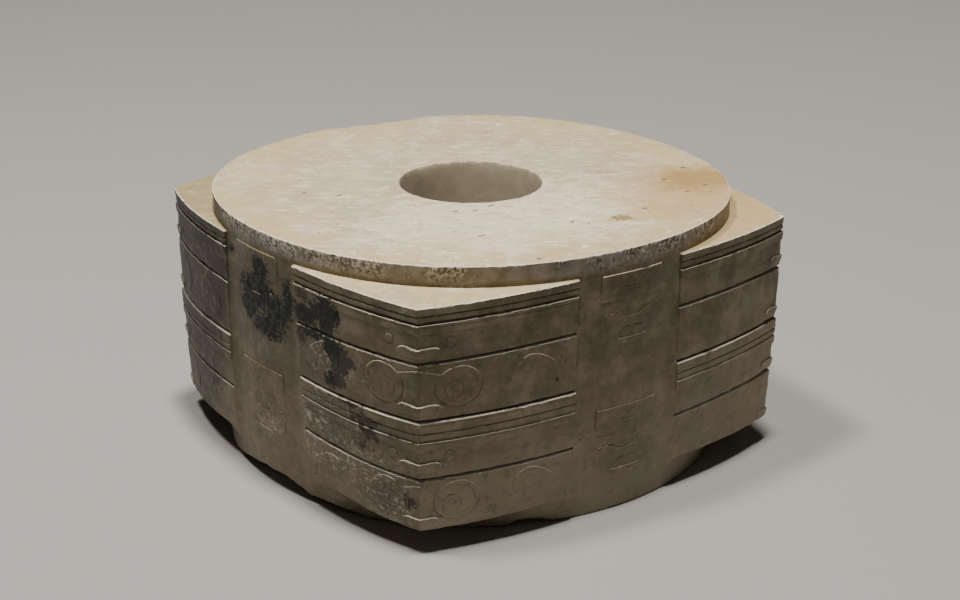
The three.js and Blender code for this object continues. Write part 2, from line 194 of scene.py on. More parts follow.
def length(name, description, default, least=0.0):
    return FloatProperty(name=name, description=description, default=default, min=least,
                         unit="LENGTH")


def power(name, description, default):
    return FloatProperty(name=name, description=description, default=default, min=0.0,
                         unit="POWER")


def colour(name, description, *default):
    return FloatVectorProperty(name=name, description=description, default=default,
                               subtype="COLOR")


class CongSizes(bpy.types.PropertyGroup):
    """Sizes of the stone block"""
    height: length("Height", "Height over both collars", CAD_HIGH.z - CAD_LOW.z, 0.02)
    upper_collar: length("Upper collar", "Height of the upper collar", 0.0069, 0.001)
    lower_collar: length("Lower collar", "Height of the lower collar", 0.0074, 0.001)
    collar_radius: length("Collar radius", "Radius of the upper collar", 0.0869, 0.01)
    collar_taper: length("Collar taper", "How much smaller the lower collar's radius is", 0.003)
    set_back: length("Side set back", "From the upper collar in to the middle of a side", 0.0019)
    bow: length("Side bow", "How much further back a side is at its corners", 0.0098)
    groove: length("Groove width", "Width of the groove in the middle of each side", 0.0422, 0.005)
    bore_mouth: length("Bore mouth radius", "Radius of the bore at its ends", 0.0236, 0.002)
    bore_waist: length("Bore waist radius", "Radius of the bore in its middle", 0.019, 0.002)


class CongCarving(bpy.types.PropertyGroup):
    """Sizes of the carving and the wear"""
    cut_height: length("Cut height", "Height of the cuts between registers", 0.0009, 0.0002)
    cut_depth: length("Cut depth", "Depth of the cuts between registers", 0.0015)
    relief: length("Band relief", "How far bands and noses stand out", 0.0005)
    line_width: length("Line width", "Width of the fine cut lines", 0.00045, 0.0001)
    line_depth: length("Line depth", "Depth of the fine cut lines", 0.00032)
    undulation: length("Undulation", "Unevenness of the polished faces", 0.00012)
    pit_depth: length("Pit depth", "Depth of the pits and pecks", 0.0003)
    fineness: length("Fineness", "Greatest spacing of the lattice's points on the sides",
                     0.00033, 0.0001)
    triangles: IntProperty(
        name="Triangles", description="Most triangles in the finished block", default=190000,
        min=1000)
    seed: IntProperty(name="Seed", description="Seed of the wear and the pits", default=7)


class CongFinish(bpy.types.PropertyGroup):
    """Colours of the stone and what lies on it"""
    polished: colour("Polished stone", "Faces that look up", 0.605, 0.505, 0.34)
    cloud: colour("White clouds", "Streaks and clouds in the polished stone", 0.92, 0.815, 0.61)
    honey: colour("Honey patches", "Yellowish patches", 0.62, 0.48, 0.235)
    ochre: colour("Ochre stain", "Warm stain by the rim", 0.40, 0.25, 0.08)
    # Painted shade: the side colours are the sides' own brown stone made darker, as the sides turn
    # away from the light overhead
    side: colour("Side stone", "Stone of the sides", 0.178, 0.140, 0.077)
    side_grey: colour("Side grey", "Greyer clouds in the sides", 0.315, 0.265, 0.180)
    side_dark: colour("Side brown", "Browner clouds in the sides", 0.118, 0.089, 0.044)
    # A darker tone for the carving's hollows, cuts and pits
    grime: colour("Grime", "Dirt in cuts and lines", 0.055, 0.042, 0.03)
    # The crust colour also paints the highlights on up-facing crests
    crust: colour("Pale crust", "Whitish crust on edges", 0.66, 0.62, 0.52)
    stain: colour("Black stain", "Black-green crusted stain", 0.008, 0.0095, 0.0075)


class CongStage(bpy.types.PropertyGroup):
    """The floor and the lights"""
    floor_width: length("Floor width", "Width of the floor", 8.0, 0.5)
    floor_tone: FloatProperty(
        name="Floor tone", description="Lightness of the floor", default=0.38, min=0.0, max=1.0)
    key_power: power("Key light", "Power of the far light overhead", 92.0)
    side_power: power("Side light", "Power of the nearer light on the left", 5.6)
    fill_power: power("Fill light", "Power of the soft light in front", 0.12)
    air: FloatProperty(
        name="Surroundings", description="Strength of the even surrounding light", default=0.035,
        min=0.0)


def in_millimetres(group):
    """A property group's lengths in millimetres, under the same names"""
    return SimpleNamespace(**{name: getattr(group, name) / MM for name in group.__annotations__
                              if not isinstance(getattr(group, name), int)})


class Wire:
    """A node's output that takes arithmetic, and leaves Math nodes behind"""

    def __init__(self, tree, socket):
        self.tree, self.socket = tree, socket

    def __add__(self, other):
        return self.tree.math("ADD", self, other)

    def __sub__(self, other):
        return self.tree.math("SUBTRACT", self, other)

    def __rsub__(self, other):
        return self.tree.math("SUBTRACT", other, self)

    def __mul__(self, other):
        return self.tree.math("MULTIPLY", self, other)

    def __lt__(self, other):
        return self.tree.math("LESS_THAN", self, other)

    __radd__ = __add__
    __rmul__ = __mul__

    def least(self, other):
        return self.tree.math("MINIMUM", self, other)

    def most(self, other):
        return self.tree.math("MAXIMUM", self, other)

    def over(self, low, high):
        """0 below low, 1 above high, and smooth between; low may be the greater"""
        return self.tree.add("ShaderNodeMapRange", {"interpolation_type": "SMOOTHSTEP"}, {
            "Value": self, "From Min": low, "From Max": high})


class Tree:
    """Adds nodes to a tree"""

    def __init__(self, tree):
        self.tree = tree

    def add(self, kind, settings=None, sockets=None, out=0):
        """A new node with its settings, then its sockets' values or links; gives one output"""
        node = self.tree.nodes.new(kind)
        for name, value in (settings or {}).items():
            setattr(node, name, value)
        for key, value in (sockets or {}).items():
            if isinstance(value, Wire):
                self.tree.links.new(value.socket, node.inputs[key])
            else:
                node.inputs[key].default_value = value
        return Wire(self, node.outputs[out]) if len(node.outputs) else node

    def math(self, operation, *terms):
        return self.add("ShaderNodeMath", {"operation": operation}, dict(enumerate(terms)))

    def vector(self, operation, *terms, out=0):
        return self.add("ShaderNodeVectorMath", {"operation": operation}, dict(enumerate(terms)),
                        out)

    def scaled(self, vector, scale):
        return self.add("ShaderNodeVectorMath", {"operation": "SCALE"},
                        {0: vector, "Scale": scale})

    def mix(self, share, first, second):
        """Colours first and second, mixed by share"""
        pair = [c if isinstance(c, Wire) else (*c, 1.0) for c in (first, second)]
        return self.add("ShaderNodeMix", {"data_type": "RGBA"},
                        {0: share, 6: pair[0], 7: pair[1]}, out=2)

    def clouds(self, place, size, detail, rough, swirl=0.0):
        return self.add("ShaderNodeTexNoise", {"noise_dimensions": "3D"}, {
            "Vector": place, "Scale": 1 / size, "Detail": detail, "Roughness": rough,
            "Distortion": swirl})

    def finish(self, sockets):
        """A surface shader and the tree's output"""
        shader = self.add("ShaderNodeBsdfPrincipled", sockets=sockets)
        self.add("ShaderNodeOutputMaterial", sockets={"Surface": shader})


def bare_material(name):
    material = bpy.data.materials.new(name)
    material.use_nodes = True
    material.node_tree.nodes.clear()
    return material


# The block's form. Points are in millimetres; angles are measured in each side's own frame, from
# its outward direction towards its right-hand end. A side has a panel on each hand of its groove:
# hand is 1 for the right one, -1 for the left one and 0 for the groove.

def corner_of(side, hand):
    return side if hand > 0 else (side - 1) % SIDES


class Form:
    """The sizes of the block and the rules that place its surface"""

    def __init__(self, sizes, carving):
        s, c = in_millimetres(sizes), in_millimetres(carving)
        self.height, self.upper, self.lower = s.height, s.upper_collar, s.lower_collar
        self.collar, self.taper_width = s.collar_radius, s.collar_taper
        self.reach = s.collar_radius - s.set_back
        self.bow = s.bow
        self.corner = self.reach - s.bow
        self.half_groove = s.groove / 2
        self.mouth, self.waist = s.bore_mouth, s.bore_waist
        self.cut_height, self.cut_depth, self.relief = c.cut_height, c.cut_depth, c.relief
        self.cell = c.fineness
        self.shoulder = self.height - self.upper
        self.side_height = self.shoulder - self.lower
        self.registers = []
        top = self.shoulder
        for number, share in enumerate(REGISTER_SHARES):
            height = self.side_height * share / sum(REGISTER_SHARES)
            self.registers.append(SimpleNamespace(
                number=number, top=top, height=height, bottom=top - height,
                banded=number in BANDS))
            top -= height

    def collar_radius(self, angle, z):
        share = z / self.height
        low, high = COLLAR_SQUARENESS
        mean = self.collar - self.taper_width * (1 - share)
        return mean - (low + (high - low) * share) * np.cos(SIDES * angle)

    def lean(self, z):
        return SIDE_TAPER * (np.clip(self.shoulder - z, 0, None) / self.shoulder) ** 2

    def groove_edge(self, side, hand, z):
        worn = GROOVE_FLARE if side == SIDES - 1 and hand > 0 else 0.0
        return self.half_groove + worn * np.clip((self.shoulder - z) / self.side_height, 0, 1)

    def foot(self, side, hand, share):
        """Height of the block's worn lower edge"""
        before, middle, after = FOOT_WEAR[corner_of(side, hand)]
        end = before if hand > 0 else after
        return self.lower + middle * share + end * (1 - share) ** 1.5

    def bent(self, levels, z, foot):
        """The heights z of the rows at these levels, with the lowest squeezed up over the foot"""
        bend = self.lower + FOOT_BEND * self.registers[-1].height
        squeezed = bend - (bend - z) * (bend - foot) / (bend - self.lower)
        return np.where(levels[:, None] < bend, squeezed, z)

    def sway(self, side, hand, share, z):
        """How far the cuts have wandered from their true height z"""
        corner = corner_of(side, hand)
        levels = [self.lower] + [r.top for r in reversed(self.registers)]
        shifts = [np.zeros_like(share)]
        for line in reversed(range(len(self.registers))):
            end, midway = (table[line][side][hand > 0] for table in (GROOVE_SWAY, MIDWAY_SWAY))
            corner_share = share if line else share ** 2
            shifts.append(end * (1 - share) + CORNER_SWAY[line][corner] * corner_share
                          + 4 * midway * share * (1 - share))
        shifts = np.array(shifts)
        place = np.interp(z, levels, np.arange(len(levels)))
        low = np.clip(np.floor(place).astype(int), 0, len(levels) - 2)
        part = place - low
        columns = np.arange(len(share))
        return shifts[low, columns] * (1 - part) + shifts[low + 1, columns] * part

    def profile(self):
        """Heights and insets down a side, with no step longer than the cell"""
        pairs = []
        for r in self.registers:
            start = r.top if r.number == 0 else r.top - self.cut_height / 2
            if r.banded:
                line, second, lower, lower_end = (
                    r.top - share * r.height for share in BANDS[r.number])
                deep, strip = STRIP_GROOVE[r.number], STRIP_INSET[r.number]
                half = LINE_HEIGHT / 2
                pairs += [(start, BAND_EDGE if r.number == 0 else 0.1 + LIP),
                          (start - BAND_EDGE, 0.0 if r.number == 0 else 0.1),
                          (line + half, strip / 2), (line + half - LINE_WALL, deep),
                          (line - half + LINE_WALL, deep), (line - half, strip),
                          (second + half, strip), (second + half - LINE_WALL, deep),
                          (lower + 0.35, deep), (lower, 0.05), (lower_end, 0.15),
                          (lower_end - BAND_EDGE, self.relief)]
            else:
                pairs += [(start, self.relief + LIP), (start - LIP, self.relief - 0.05)]
            if r.number < len(self.registers) - 1:
                edge = r.bottom + self.cut_height / 2
                pairs += [(edge, self.relief), (edge - self.cut_height / 5, self.cut_depth),
                          (edge - 4 * self.cut_height / 5, self.cut_depth)]
        pairs.append((self.lower, self.relief))
        rows = pairs[:1]
        for (z, inset), (next_z, next_inset) in zip(pairs, pairs[1:]):
            count = max(1, math.ceil((z - next_z) / self.cell - 1e-6))
            rows += [(z + (next_z - z) * k / count, inset + (next_inset - inset) * k / count)
                     for k in range(1, count + 1)]
        return np.array(rows).T


def fractured(form, angle, z, radius):
    """The radius left at the collars once flakes are struck off them"""
    clear = 3 * COLLAR_EDGE
    for start, deepest, end, depth, height, upper in FLAKES:
        share = ((np.degrees(angle) - start) % 360) / (end - start)
        inside = (share > 0) & (share < 1)
        skew = math.log(0.5) / math.log((deepest - start) / (end - start))
        bend = np.sin(np.pi * np.where(inside, share, 0.5) ** skew)
        fade = 0.02 + 0.98 * np.abs(bend) ** 0.6
        edge = form.height if upper else 0.0
        outer = form.collar_radius(angle, edge) + clear
        away = (edge - z if upper else z) + clear
        scallop = 0.22 * np.sin(angle * 41 + z * 0.6) + 0.09 * np.sin(
            angle * 97 - z * 0.8 + 2.5 * np.sin(angle * 23))
        plane = outer - (depth + clear) * fade * (1 - away / ((height + clear) * fade))
        cut = inside & (away < (height + clear) * fade)
        radius = np.where(cut, np.minimum(radius, plane + scallop * fade), radius)
    return radius


def outline_distance(points, outline):
    """Distance from points to a closed outline, less than 0 inside, and the nearest places"""
    start = np.asarray(outline, float)
    end = np.roll(start, -1, axis=0)
    along = end - start
    away = points[:, None] - start
    share = np.clip((away * along).sum(-1) / (along * along).sum(-1), 0, 1)
    near = start + share[..., None] * along
    gap = points[:, None] - near
    distance = np.hypot(gap[..., 0], gap[..., 1])
    best = distance.argmin(1)
    pick = np.arange(len(points))
    x, y = points[:, :1], points[:, 1:]
    straddles = (start[:, 1] > y) != (end[:, 1] > y)
    rise = np.where(end[:, 1] == start[:, 1], 1e-9, along[:, 1])
    crossing = start[:, 0] + (y - start[:, 1]) / rise * along[:, 0]
    inside = (straddles & (x < crossing)).sum(1) % 2 == 1
    least = distance[pick, best]
    return np.where(inside, -least, least), near[pick, best]


def set_relief(across, up, inset, outline, level, fade, cell, fixed):
    """Raises what lies inside an outline to a level that fades downwards, and draws the lattice's
    points close to the outline onto it, so that its edge is crisp. Columns that are fixed only
    move up or down."""
    outline = np.asarray(outline, float)
    reach, snap, slope = 2.5 * cell, 0.6 * cell, 0.12
    low, high = outline.min(0) - reach, outline.max(0) + reach
    near = ((across > low[0]) & (across < high[0]) & (up > low[1]) & (up < high[1]))
    if not near.any():
        return
    points = np.stack([across[near], up[near]], 1)
    distance, nearest = outline_distance(points, outline)
    gap = np.abs(distance)
    rest = np.where(distance < 0, 0.0, slope)
    drawn = np.where(gap < snap, rest,
                     rest + (gap - snap) * (reach - rest) / (reach - snap))
    drawn = np.where(gap < reach, drawn, gap)
    way = (points - nearest) / np.maximum(gap, 1e-6)[:, None]
    moved = nearest + way * drawn[:, None]
    still = fixed[near]
    moved[still, 0] = points[still, 0]
    across[near], up[near] = moved[:, 0], moved[:, 1]
    top, bottom = outline[:, 1].max(), outline[:, 1].min()
    down = np.clip((top - up[near]) / (top - bottom), 0, 1) ** 1.5
    raised = level + (inset[near] - level) * fade * down
    inset[near] = np.where(distance < 0, np.minimum(inset[near], raised), inset[near])


def ring(across, up, wide, high, steps=28, start=0.0, turn=1.0):
    """Points round an ellipse, or along a part of it"""
    angles = 2 * np.pi * (start + turn * np.arange(steps + (turn < 1)) / steps)
    return np.stack([across + wide * np.cos(angles), up + high * np.sin(angles)], 1)


def nose_outline(tip, r):
    """A bar round the corner, whose rounded ends lift a little"""
    top = r.bottom + NOSE.up * r.height
    inner, outer = tip - NOSE.half * r.height, tip + r.height
    rise, thick = NOSE.rise * r.height, NOSE.height * r.height
    return [(inner + 0.9, top - thick), (outer, top - thick), (outer, top), (tip, top),
            (inner + 3.2, top + rise), (inner + 1.4, top + rise), (inner + 0.5, top + 0.05),
            (inner, top - 0.8), (inner + 0.2, top - thick * 0.75)]


def bridge_outline(tip, r):
    top = r.bottom + BRIDGE.top * r.height
    inner, outer = tip - BRIDGE.half * r.height, tip + r.height
    drop, thick = BRIDGE.drop * r.height, BRIDGE.height * r.height
    return [(inner, top - drop - thick), (outer, top - thick), (outer, top), (tip, top),
            (inner, top - drop)]


def bird_outline(tip, width, r):
    across, up = tip - BIRD.across * width, r.bottom + BIRD.up * r.height
    return [(across + x * BIRD.radius * r.height, up + z * BIRD.radius * r.height)
            for x, z in BIRD_OUTLINE]


def corner_reliefs(form, tip, r, left):
    """Outlines in a register beside a corner, each with the inset it rises to. Left is the share
    of them that wear has left."""
    width = tip - form.half_groove
    reliefs = []
    eye_inset = form.relief - (form.relief - EYE_INSET) * left
    if r.banded:
        radius = ROUND_EYE.radius * r.height
        reliefs.append((ring(tip - ROUND_EYE.across * width, r.bottom + ROUND_EYE.up * r.height,
                             radius, radius, 16), eye_inset, 0.3))
    else:
        reliefs.append((ring(tip - BEAST_EYE.across * width,
                             r.bottom + BEAST_EYE.up * r.height,
                             BEAST_EYE.wide * r.height, BEAST_EYE.high * r.height, 40),
                        eye_inset, 0.6))
        reliefs.append((bridge_outline(tip, r), eye_inset, 0.9))
        reliefs.append((bird_outline(tip, width, r), eye_inset, 0.85))
    reliefs.append((nose_outline(tip, r), 0.0, 0.75))
    return reliefs


def both_halves(half, place):
    """A closed outline, from the points of its right half down its middle"""
    right = [place(x, y) for x, y in half]
    left = [(-x, z) for x, z in right[1:-1]][::-1]
    return right + left


def figure_places(form, side):
    """For each figure on a side, a function that places its half outline's points"""
    half, tall = FIGURE.half * form.half_groove, FIGURE.height * form.side_height
    for drop in FIGURE_DROPS[side]:
        crown = form.shoulder - drop * form.side_height
        yield (lambda x, down, crown=crown: (x * half, crown + down * tall)), half


def figure_reliefs(form, side):
    reliefs = []
    for place, half in figure_places(form, side):
        reliefs += [(both_halves(CROWN, place), FIGURE_RAISE, 0.9),
                    (both_halves(BEAST, place), FIGURE_RAISE, 1.0),
                    (both_halves(BEAST_NOSE, place), FEATURE_RAISE, 0.7)]
    return reliefs


# The lattice: rows run down the outside, in under the foot, up the bore and out across the top.
# A row holds how far its points are across their side, out from the axis and up.

def level_row(radius, angle, z):
    return radius * np.sin(angle), radius * np.cos(angle), np.full(len(angle), z)


def add_between(rows, end, steps):
    """Adds rows on the way from the last row to the end row, at these shares of it"""
    last = rows[-1]
    rows += [tuple(a + (b - a) * step for a, b in zip(last, end)) for step in steps]


class Lattice:
    """The block's points, as rows of columns that go round it anticlockwise from above"""

    def __init__(self, form):
        self.form = form
        self.levels, self.insets = form.profile()
        self.corner_insets = {}
        panel = math.ceil((form.corner - form.half_groove) / form.cell)
        groove = math.ceil(2 * form.half_groove / (1.15 * form.cell))
        blocks = []
        for side in range(SIDES):
            for hand, share in ((-1, 1 - np.arange(1, panel + 1) / panel),
                                (0, np.linspace(-1, 1, groove + 1)),
                                (1, np.linspace(0, 1, panel + 1))):
                rows = np.array(self.rows(side, hand, share))
                x, y = self.turned(side, rows[:, 0], rows[:, 1])
                blocks.append(np.stack([x, y, rows[:, 2]], -1))
        self.points = np.concatenate(blocks, 1)
        self.points[..., 2] = MARGIN + self.points[..., 2] * (1 - 2 * MARGIN / form.height)

    def turned(self, side, across, out):
        """Points of a side, given across it and out from the axis, turned to their place"""
        angle = (side - 1) * np.pi / 2
        x = out * math.cos(angle) - across * math.sin(angle)
        y = out * math.sin(angle) + across * math.cos(angle)
        return x, y

    def rows(self, side, hand, share):
        """All rows of a panel or a groove, whose columns lie at these shares of its width"""
        f = self.form
        wall, top_angle, foot_angle, under = (
            self.panel(side, hand, share) if hand else self.groove(side, share))
        dip = 0.0 if hand else GROOVE_DIP
        count = math.ceil((f.upper - COLLAR_EDGE) / f.cell)
        heights = [(f.height - down, back) for down, back in RIM_ROWS]
        heights += [(z, 0.0) for z in np.linspace(f.height - COLLAR_EDGE, f.shoulder, count)]
        rows = self.collar(side, top_angle, heights, 0.0)
        add_between(rows, [part[0] for part in wall], STEPS_ACROSS)
        rows += list(zip(*wall))
        add_between(rows, under, STEPS_UNDER)
        rows.append(under)
        radius = fractured(f, foot_angle + (side - 1) * np.pi / 2, f.lower - dip,
                           f.collar_radius(foot_angle, f.lower))
        add_between(rows, level_row(radius, foot_angle, f.lower - dip), STEPS_ACROSS)
        count = math.ceil((f.lower - COLLAR_EDGE) / f.cell)
        heights = [(z, 0.0) for z in np.linspace(f.lower, COLLAR_EDGE, count)]
        rows += self.collar(side, foot_angle, heights + list(HEEL_ROWS), dip)
        lip = f.mouth + BORE_FLARE + BORE_CHAMFER
        add_between(rows, level_row(lip, foot_angle, 0.0), STEPS_END)
        for height in np.concatenate([
                BORE_ENDS, np.linspace(BORE_START, f.height - BORE_START, BORE_STEPS),
                f.height - BORE_ENDS[::-1]]):
            from_end = min(height, f.height - height)
            slope = (f.mouth - f.waist) / (f.height / 2)
            radius = f.mouth - slope * from_end + BORE_FLARE * math.exp(-from_end / 3)
            if from_end < BORE_LIP * 0.5:
                radius += BORE_CHAMFER
            share_up = height / f.height
            angle = foot_angle + (top_angle - foot_angle) * share_up
            rows.append(level_row(radius, angle, height))
        add_between(rows, rows[0], STEPS_TOP)
        return rows

    def collar(self, side, angle, heights, dip):
        """Rows of a collar, given as their heights and how far in they are, with its flakes"""
        rows = []
        for height, back in heights:
            radius = self.form.collar_radius(angle, height) - back
            radius = fractured(self.form, angle + (side - 1) * np.pi / 2, height, radius)
            drop = min(dip * math.exp(-(self.form.lower - height)), height * 0.5)
            rows.append(level_row(radius, angle, height - drop))
        return rows

    def panel_surface(self, side, hand, share, z, inset, across=None, corner_inset=None):
        """Where the columns of a panel are across their side and out from the axis"""
        f = self.form
        worn = CORNER_WEAR[corner_of(side, hand)]
        lean = f.lean(z)
        tip = f.corner - worn - lean - (inset if corner_inset is None else corner_inset)
        edge = f.groove_edge(side, hand, z)
        if across is None:
            across = edge + (tip - edge) * share
        out = f.reach - lean - inset - (f.bow + worn) * np.clip(across / tip, 0, 1) ** SIDE_POWER
        core = f.collar_radius(np.arctan2(across, out), z) + PANEL_CLEARANCE
        scale = np.maximum(1.0, core / np.hypot(across, out))
        return across * scale, out * scale

    def panel_heights(self, side, hand, share):
        """The heights of a panel's rows, with the wander of the cuts and the worn foot"""
        z = np.array([level + self.form.sway(side, hand, share, level) for level in self.levels])
        return self.form.bent(self.levels, z, self.form.foot(side, hand, share))

    def panel(self, side, hand, share):
        """A panel's wall, its ends' angles and the row where its lower edge meets the core"""
        f, corner = self.form, corner_of(side, hand)
        z = self.panel_heights(side, hand, share)
        inset = np.repeat(self.insets[:, None], len(share), 1)
        across, out = self.panel_surface(side, hand, share, z, inset)
        fixed = np.repeat(((share == 0) | (share == 1))[None], len(z), 0)
        tip = f.corner - CORNER_WEAR[corner]
        for r in f.registers:
            for outline, level, fade in corner_reliefs(f, tip, r, CARVING_LEFT[corner]):
                set_relief(across, z, inset, outline, level, fade, f.cell, fixed)
        # Both panels at a corner end in the same insets, those of the one before it
        if hand > 0:
            self.corner_insets[side] = inset[:, -1:]
        at_corner = self.corner_insets.get(corner, inset[:, :1])
        new_tip = tip - f.lean(z) - at_corner
        pull = np.clip((share - (1 - CORNER_PULL)) / CORNER_PULL, 0, 1)
        across = across + (new_tip - (tip - f.lean(z) - self.insets[:, None])) * pull
        across = np.where(share == 1, new_tip, across)
        across, out = self.panel_surface(side, hand, share, z, inset, across, at_corner)
        across = across * hand
        foot_angle = np.arctan2(across[-1], out[-1])
        slope = FOOT_WEAR_SLOPE * max(FOOT_WEAR[corner])
        reach = np.hypot(across[-1], out[-1])
        core = f.collar_radius(foot_angle, f.lower) + FOOT_CLEARANCE
        left = np.maximum(core, reach - slope * reach / out[-1])
        under = (across[-1] * left / reach, out[-1] * left / reach, np.full(len(share), f.lower))
        return (across, out, z), np.arctan2(across[0], out[0]), foot_angle, under

    def groove(self, side, share):
        """A groove's floor, its ends' angles and the row at the foot of its core"""
        f = self.form
        (left, left_step), (right, right_step) = (self.groove_end(side, h) for h in (-1, 1))
        angle = -left[:, None] + (left + right)[:, None] * (share + 1) / 2
        ends = [f.foot(side, hand, 0.0) for hand in (-1, 1)]
        foot = ends[0] + (ends[1] - ends[0]) * (share + 1) / 2
        z = f.bent(self.levels, np.repeat(self.levels[:, None], len(share), 1), foot)
        z = z - GROOVE_DIP * np.exp(-(f.shoulder - z))
        across = f.collar_radius(angle, z) * np.sin(angle)
        raised = np.zeros_like(z)
        fixed = np.repeat((np.abs(share) == 1)[None], len(z), 0)
        for outline, level, fade in figure_reliefs(f, side):
            set_relief(across, z, raised, outline, -level, fade, f.cell, fixed)
        angle = np.arcsin(np.clip(across / f.collar_radius(angle, z), -1, 1))
        step = np.where(share < 0, left_step[:, None], right_step[:, None])
        climb = np.clip((np.abs(share) - FILLET_START) / (1 - FILLET_START), 0, 1)
        crisp = (share < 0) & (side == 0)
        low_rise, high_rise = np.where(crisp, np.array(CRISP_RISE)[:, None],
                                       np.array(FILLET_RISE)[:, None])
        low_z, high_z = FADE_HEIGHTS
        rise = low_rise + (high_rise - low_rise) * np.clip((z - low_z) / (high_z - low_z), 0, 1)
        radius = f.collar_radius(angle, z) - raised + step * rise * climb ** 2
        wall = radius * np.sin(angle), radius * np.cos(angle), z
        under = level_row(f.collar_radius(angle[-1], f.lower), angle[-1], f.lower)
        return wall, angle[0], angle[-1], under

    def groove_end(self, side, hand):
        """The angle of the groove's last column on one hand, just inside the panel's edge, and how
        far the panel stands out there"""
        f, share = self.form, np.zeros(1)
        z = self.panel_heights(side, hand, share)
        across, out = self.panel_surface(side, hand, share, z, self.insets[:, None])
        angle = np.arctan2(across, out)[:, 0]
        even = self.panel_surface(side, hand, share, z, np.full_like(z, f.relief))
        stands = np.hypot(*even) - f.collar_radius(np.arctan2(*even), z)
        return angle - EDGE_GAP / f.reach, np.clip(stands[:, 0], 0, None)

    def mesh(self, name):
        rows, columns, _ = self.points.shape
        index = np.arange(rows * columns).reshape(rows, columns)
        below, right = np.roll(index, -1, 0), np.roll(index, -1, 1)
        corner = np.roll(below, -1, 1)
        quads = np.stack([index, below, corner, right], -1).reshape(-1, 4)
        made = bpy.data.meshes.new(name)
        made.vertices.add(rows * columns)
        made.vertices.foreach_set("co", (self.points * MM).astype(np.float32).ravel())
        made.loops.add(quads.size)
        made.loops.foreach_set("vertex_index", quads.astype(np.int32).ravel())
        made.polygons.add(len(quads))
        made.polygons.foreach_set("loop_start", np.arange(0, quads.size, 4, dtype=np.int32))
        made.update(calc_edges=True)
        return made


# The engraved lines. Each is a list of points across a side and up, with a depth from 0 to 1

def spiral(across, up, radius, turns, start):
    steps = max(8, int(26 * turns))
    share = np.linspace(0, 1, steps)
    angles = 2 * np.pi * (start + turns * share)
    reach = radius * (1 - 0.78 * share)
    return np.stack([across + reach * np.cos(angles), up + reach * np.sin(angles)], 1)


def corner_lines(form, tip, r):
    """Lines engraved in a register beside a corner"""
    width = tip - form.half_groove
    nose = r.bottom + NOSE.up * r.height
    end = tip - NOSE.half * r.height
    lines = [(spiral(end + 1.7, nose - 1.0, 0.8, 0.9, 0.25), 0.5)]
    if r.banded:
        across, up = tip - ROUND_EYE.across * width, r.bottom + ROUND_EYE.up * r.height
        radius = ROUND_EYE.radius * r.height + 0.5
        lines.append((ring(across, up, radius, radius, 20, 0.0, 0.999), 0.4))
        lines += [([(across + x * (radius + 0.2), up), (across + x * (radius + 1.5), up - 0.15)],
                   0.3) for x in (-1, 1)]
        lower = r.top - 0.5 * (BANDS[r.number][2] + BANDS[r.number][3]) * r.height
        lines.append(([(form.half_groove + 1, lower + 0.1), (tip - 0.3, lower)], 0.45))
        if r.number:
            upper = r.top - 0.1 * r.height
            lines.append(([(form.half_groove + 1, upper), (tip - 0.3, upper - 0.1)], 0.4))
        return lines
    across, up = tip - PUPIL.across * width - 0.4, r.bottom + PUPIL.up * r.height
    lines += [(ring(across, up, 2.9, 2.9, 28, 0.0, 0.999), 0.5),
              (spiral(across - 0.1, up - 0.2, 1.7, 0.9, 0.15), 0.45)]
    across, up = tip - BEAST_EYE.across * width, r.bottom + BEAST_EYE.up * r.height
    wide, high = BEAST_EYE.wide * r.height, BEAST_EYE.high * r.height
    lines += [(ring(across, up, 0.78 * wide, 0.78 * high, 18, 0.3, 0.2), 0.55),
              (ring(across, up, 0.75 * wide, 0.75 * high, 18, 0.62, 0.25), 0.4),
              (ring(across, up, wide + 0.1, high + 0.1, 40, 0.48, 0.56), 0.65)]
    across, up = tip - BIRD.across * width, r.bottom + BIRD.up * r.height
    radius = BIRD.radius * r.height
    lines += [(ring(across - 0.3, up + 0.2, 0.45 * radius, 0.45 * radius, 20, 0.0, 0.999), 0.45),
              (spiral(across - 1.0 * radius, up - 0.3 * radius, 0.42 * radius, 0.8, 0.1), 0.4),
              ([(across - 1.35 * radius, up + 0.35 * radius),
                (across - 1.65 * radius, up - 0.2 * radius),
                (across - 1.7 * radius, up - 0.8 * radius)], 0.4),
              (ring(across - 1.95 * radius, up - 1.05 * radius, 0.5, 0.5, 10, 0.0, 0.999), 0.9)]
    return lines


def figure_lines(form, side):
    """Lines of the figures in a groove, from the crown's top down"""
    lines = []
    for place, half in figure_places(form, side):
        crown = place(0, 0)[1]
        for hand in (-1, 1):
            drawn = [
                ([(12.4, 0.1), (12.6, -3.0), (12.7, -5.2), (13.4, -6.5), (14.8, -6.7),
                  (15.8, -6.0)], 0.55),
                ([(12.2, -8.8), (9, -9.0), (4, -8.8)], 0.4),
                ([(0, -4.0), (0, -2.6), (2.4, -0.9)], 0.5), ([(2.2, -4.0), (5.4, -1.6)], 0.35),
                ([(4.4, -5.2), (8.4, -2.6)], 0.35),
                ([(0, -4.7), (3.1, -4.5)], 0.5), ([(0, -5.9), (2.7, -5.8)], 0.45),
                ([(0, -14.7), (2.0, -14.7), (3.8, -14.2), (5.2, -13.1), (7.2, -12.5),
                  (9.0, -12.8), (10.8, -13.8)], 0.85),
                ([(4.4, -14.6), (4.5, -12.4), (4.3, -10.2)], 0.4),
                ([(10.8, -13.8), (10.9, -16.0), (10.2, -18.4)], 0.4),
                ([(0.9, -18.3), (2.2, -18.0), (3.7, -18.5)], 0.75),
                ([(5.0, -16.2), (6.2, -15.6), (7.4, -16.0)], 0.45),
                ([(5.2, -21.5), (5.6, -20.7), (5.0, -20.1)], 0.5),
                ([(1.5, -23.6), (2.0, -24.6)], 0.4), ([(4.0, -23.4), (4.6, -24.4)], 0.4),
            ]
            lines += [([(hand * x, crown + z) for x, z in points], depth)
                      for points, depth in drawn]
    return lines


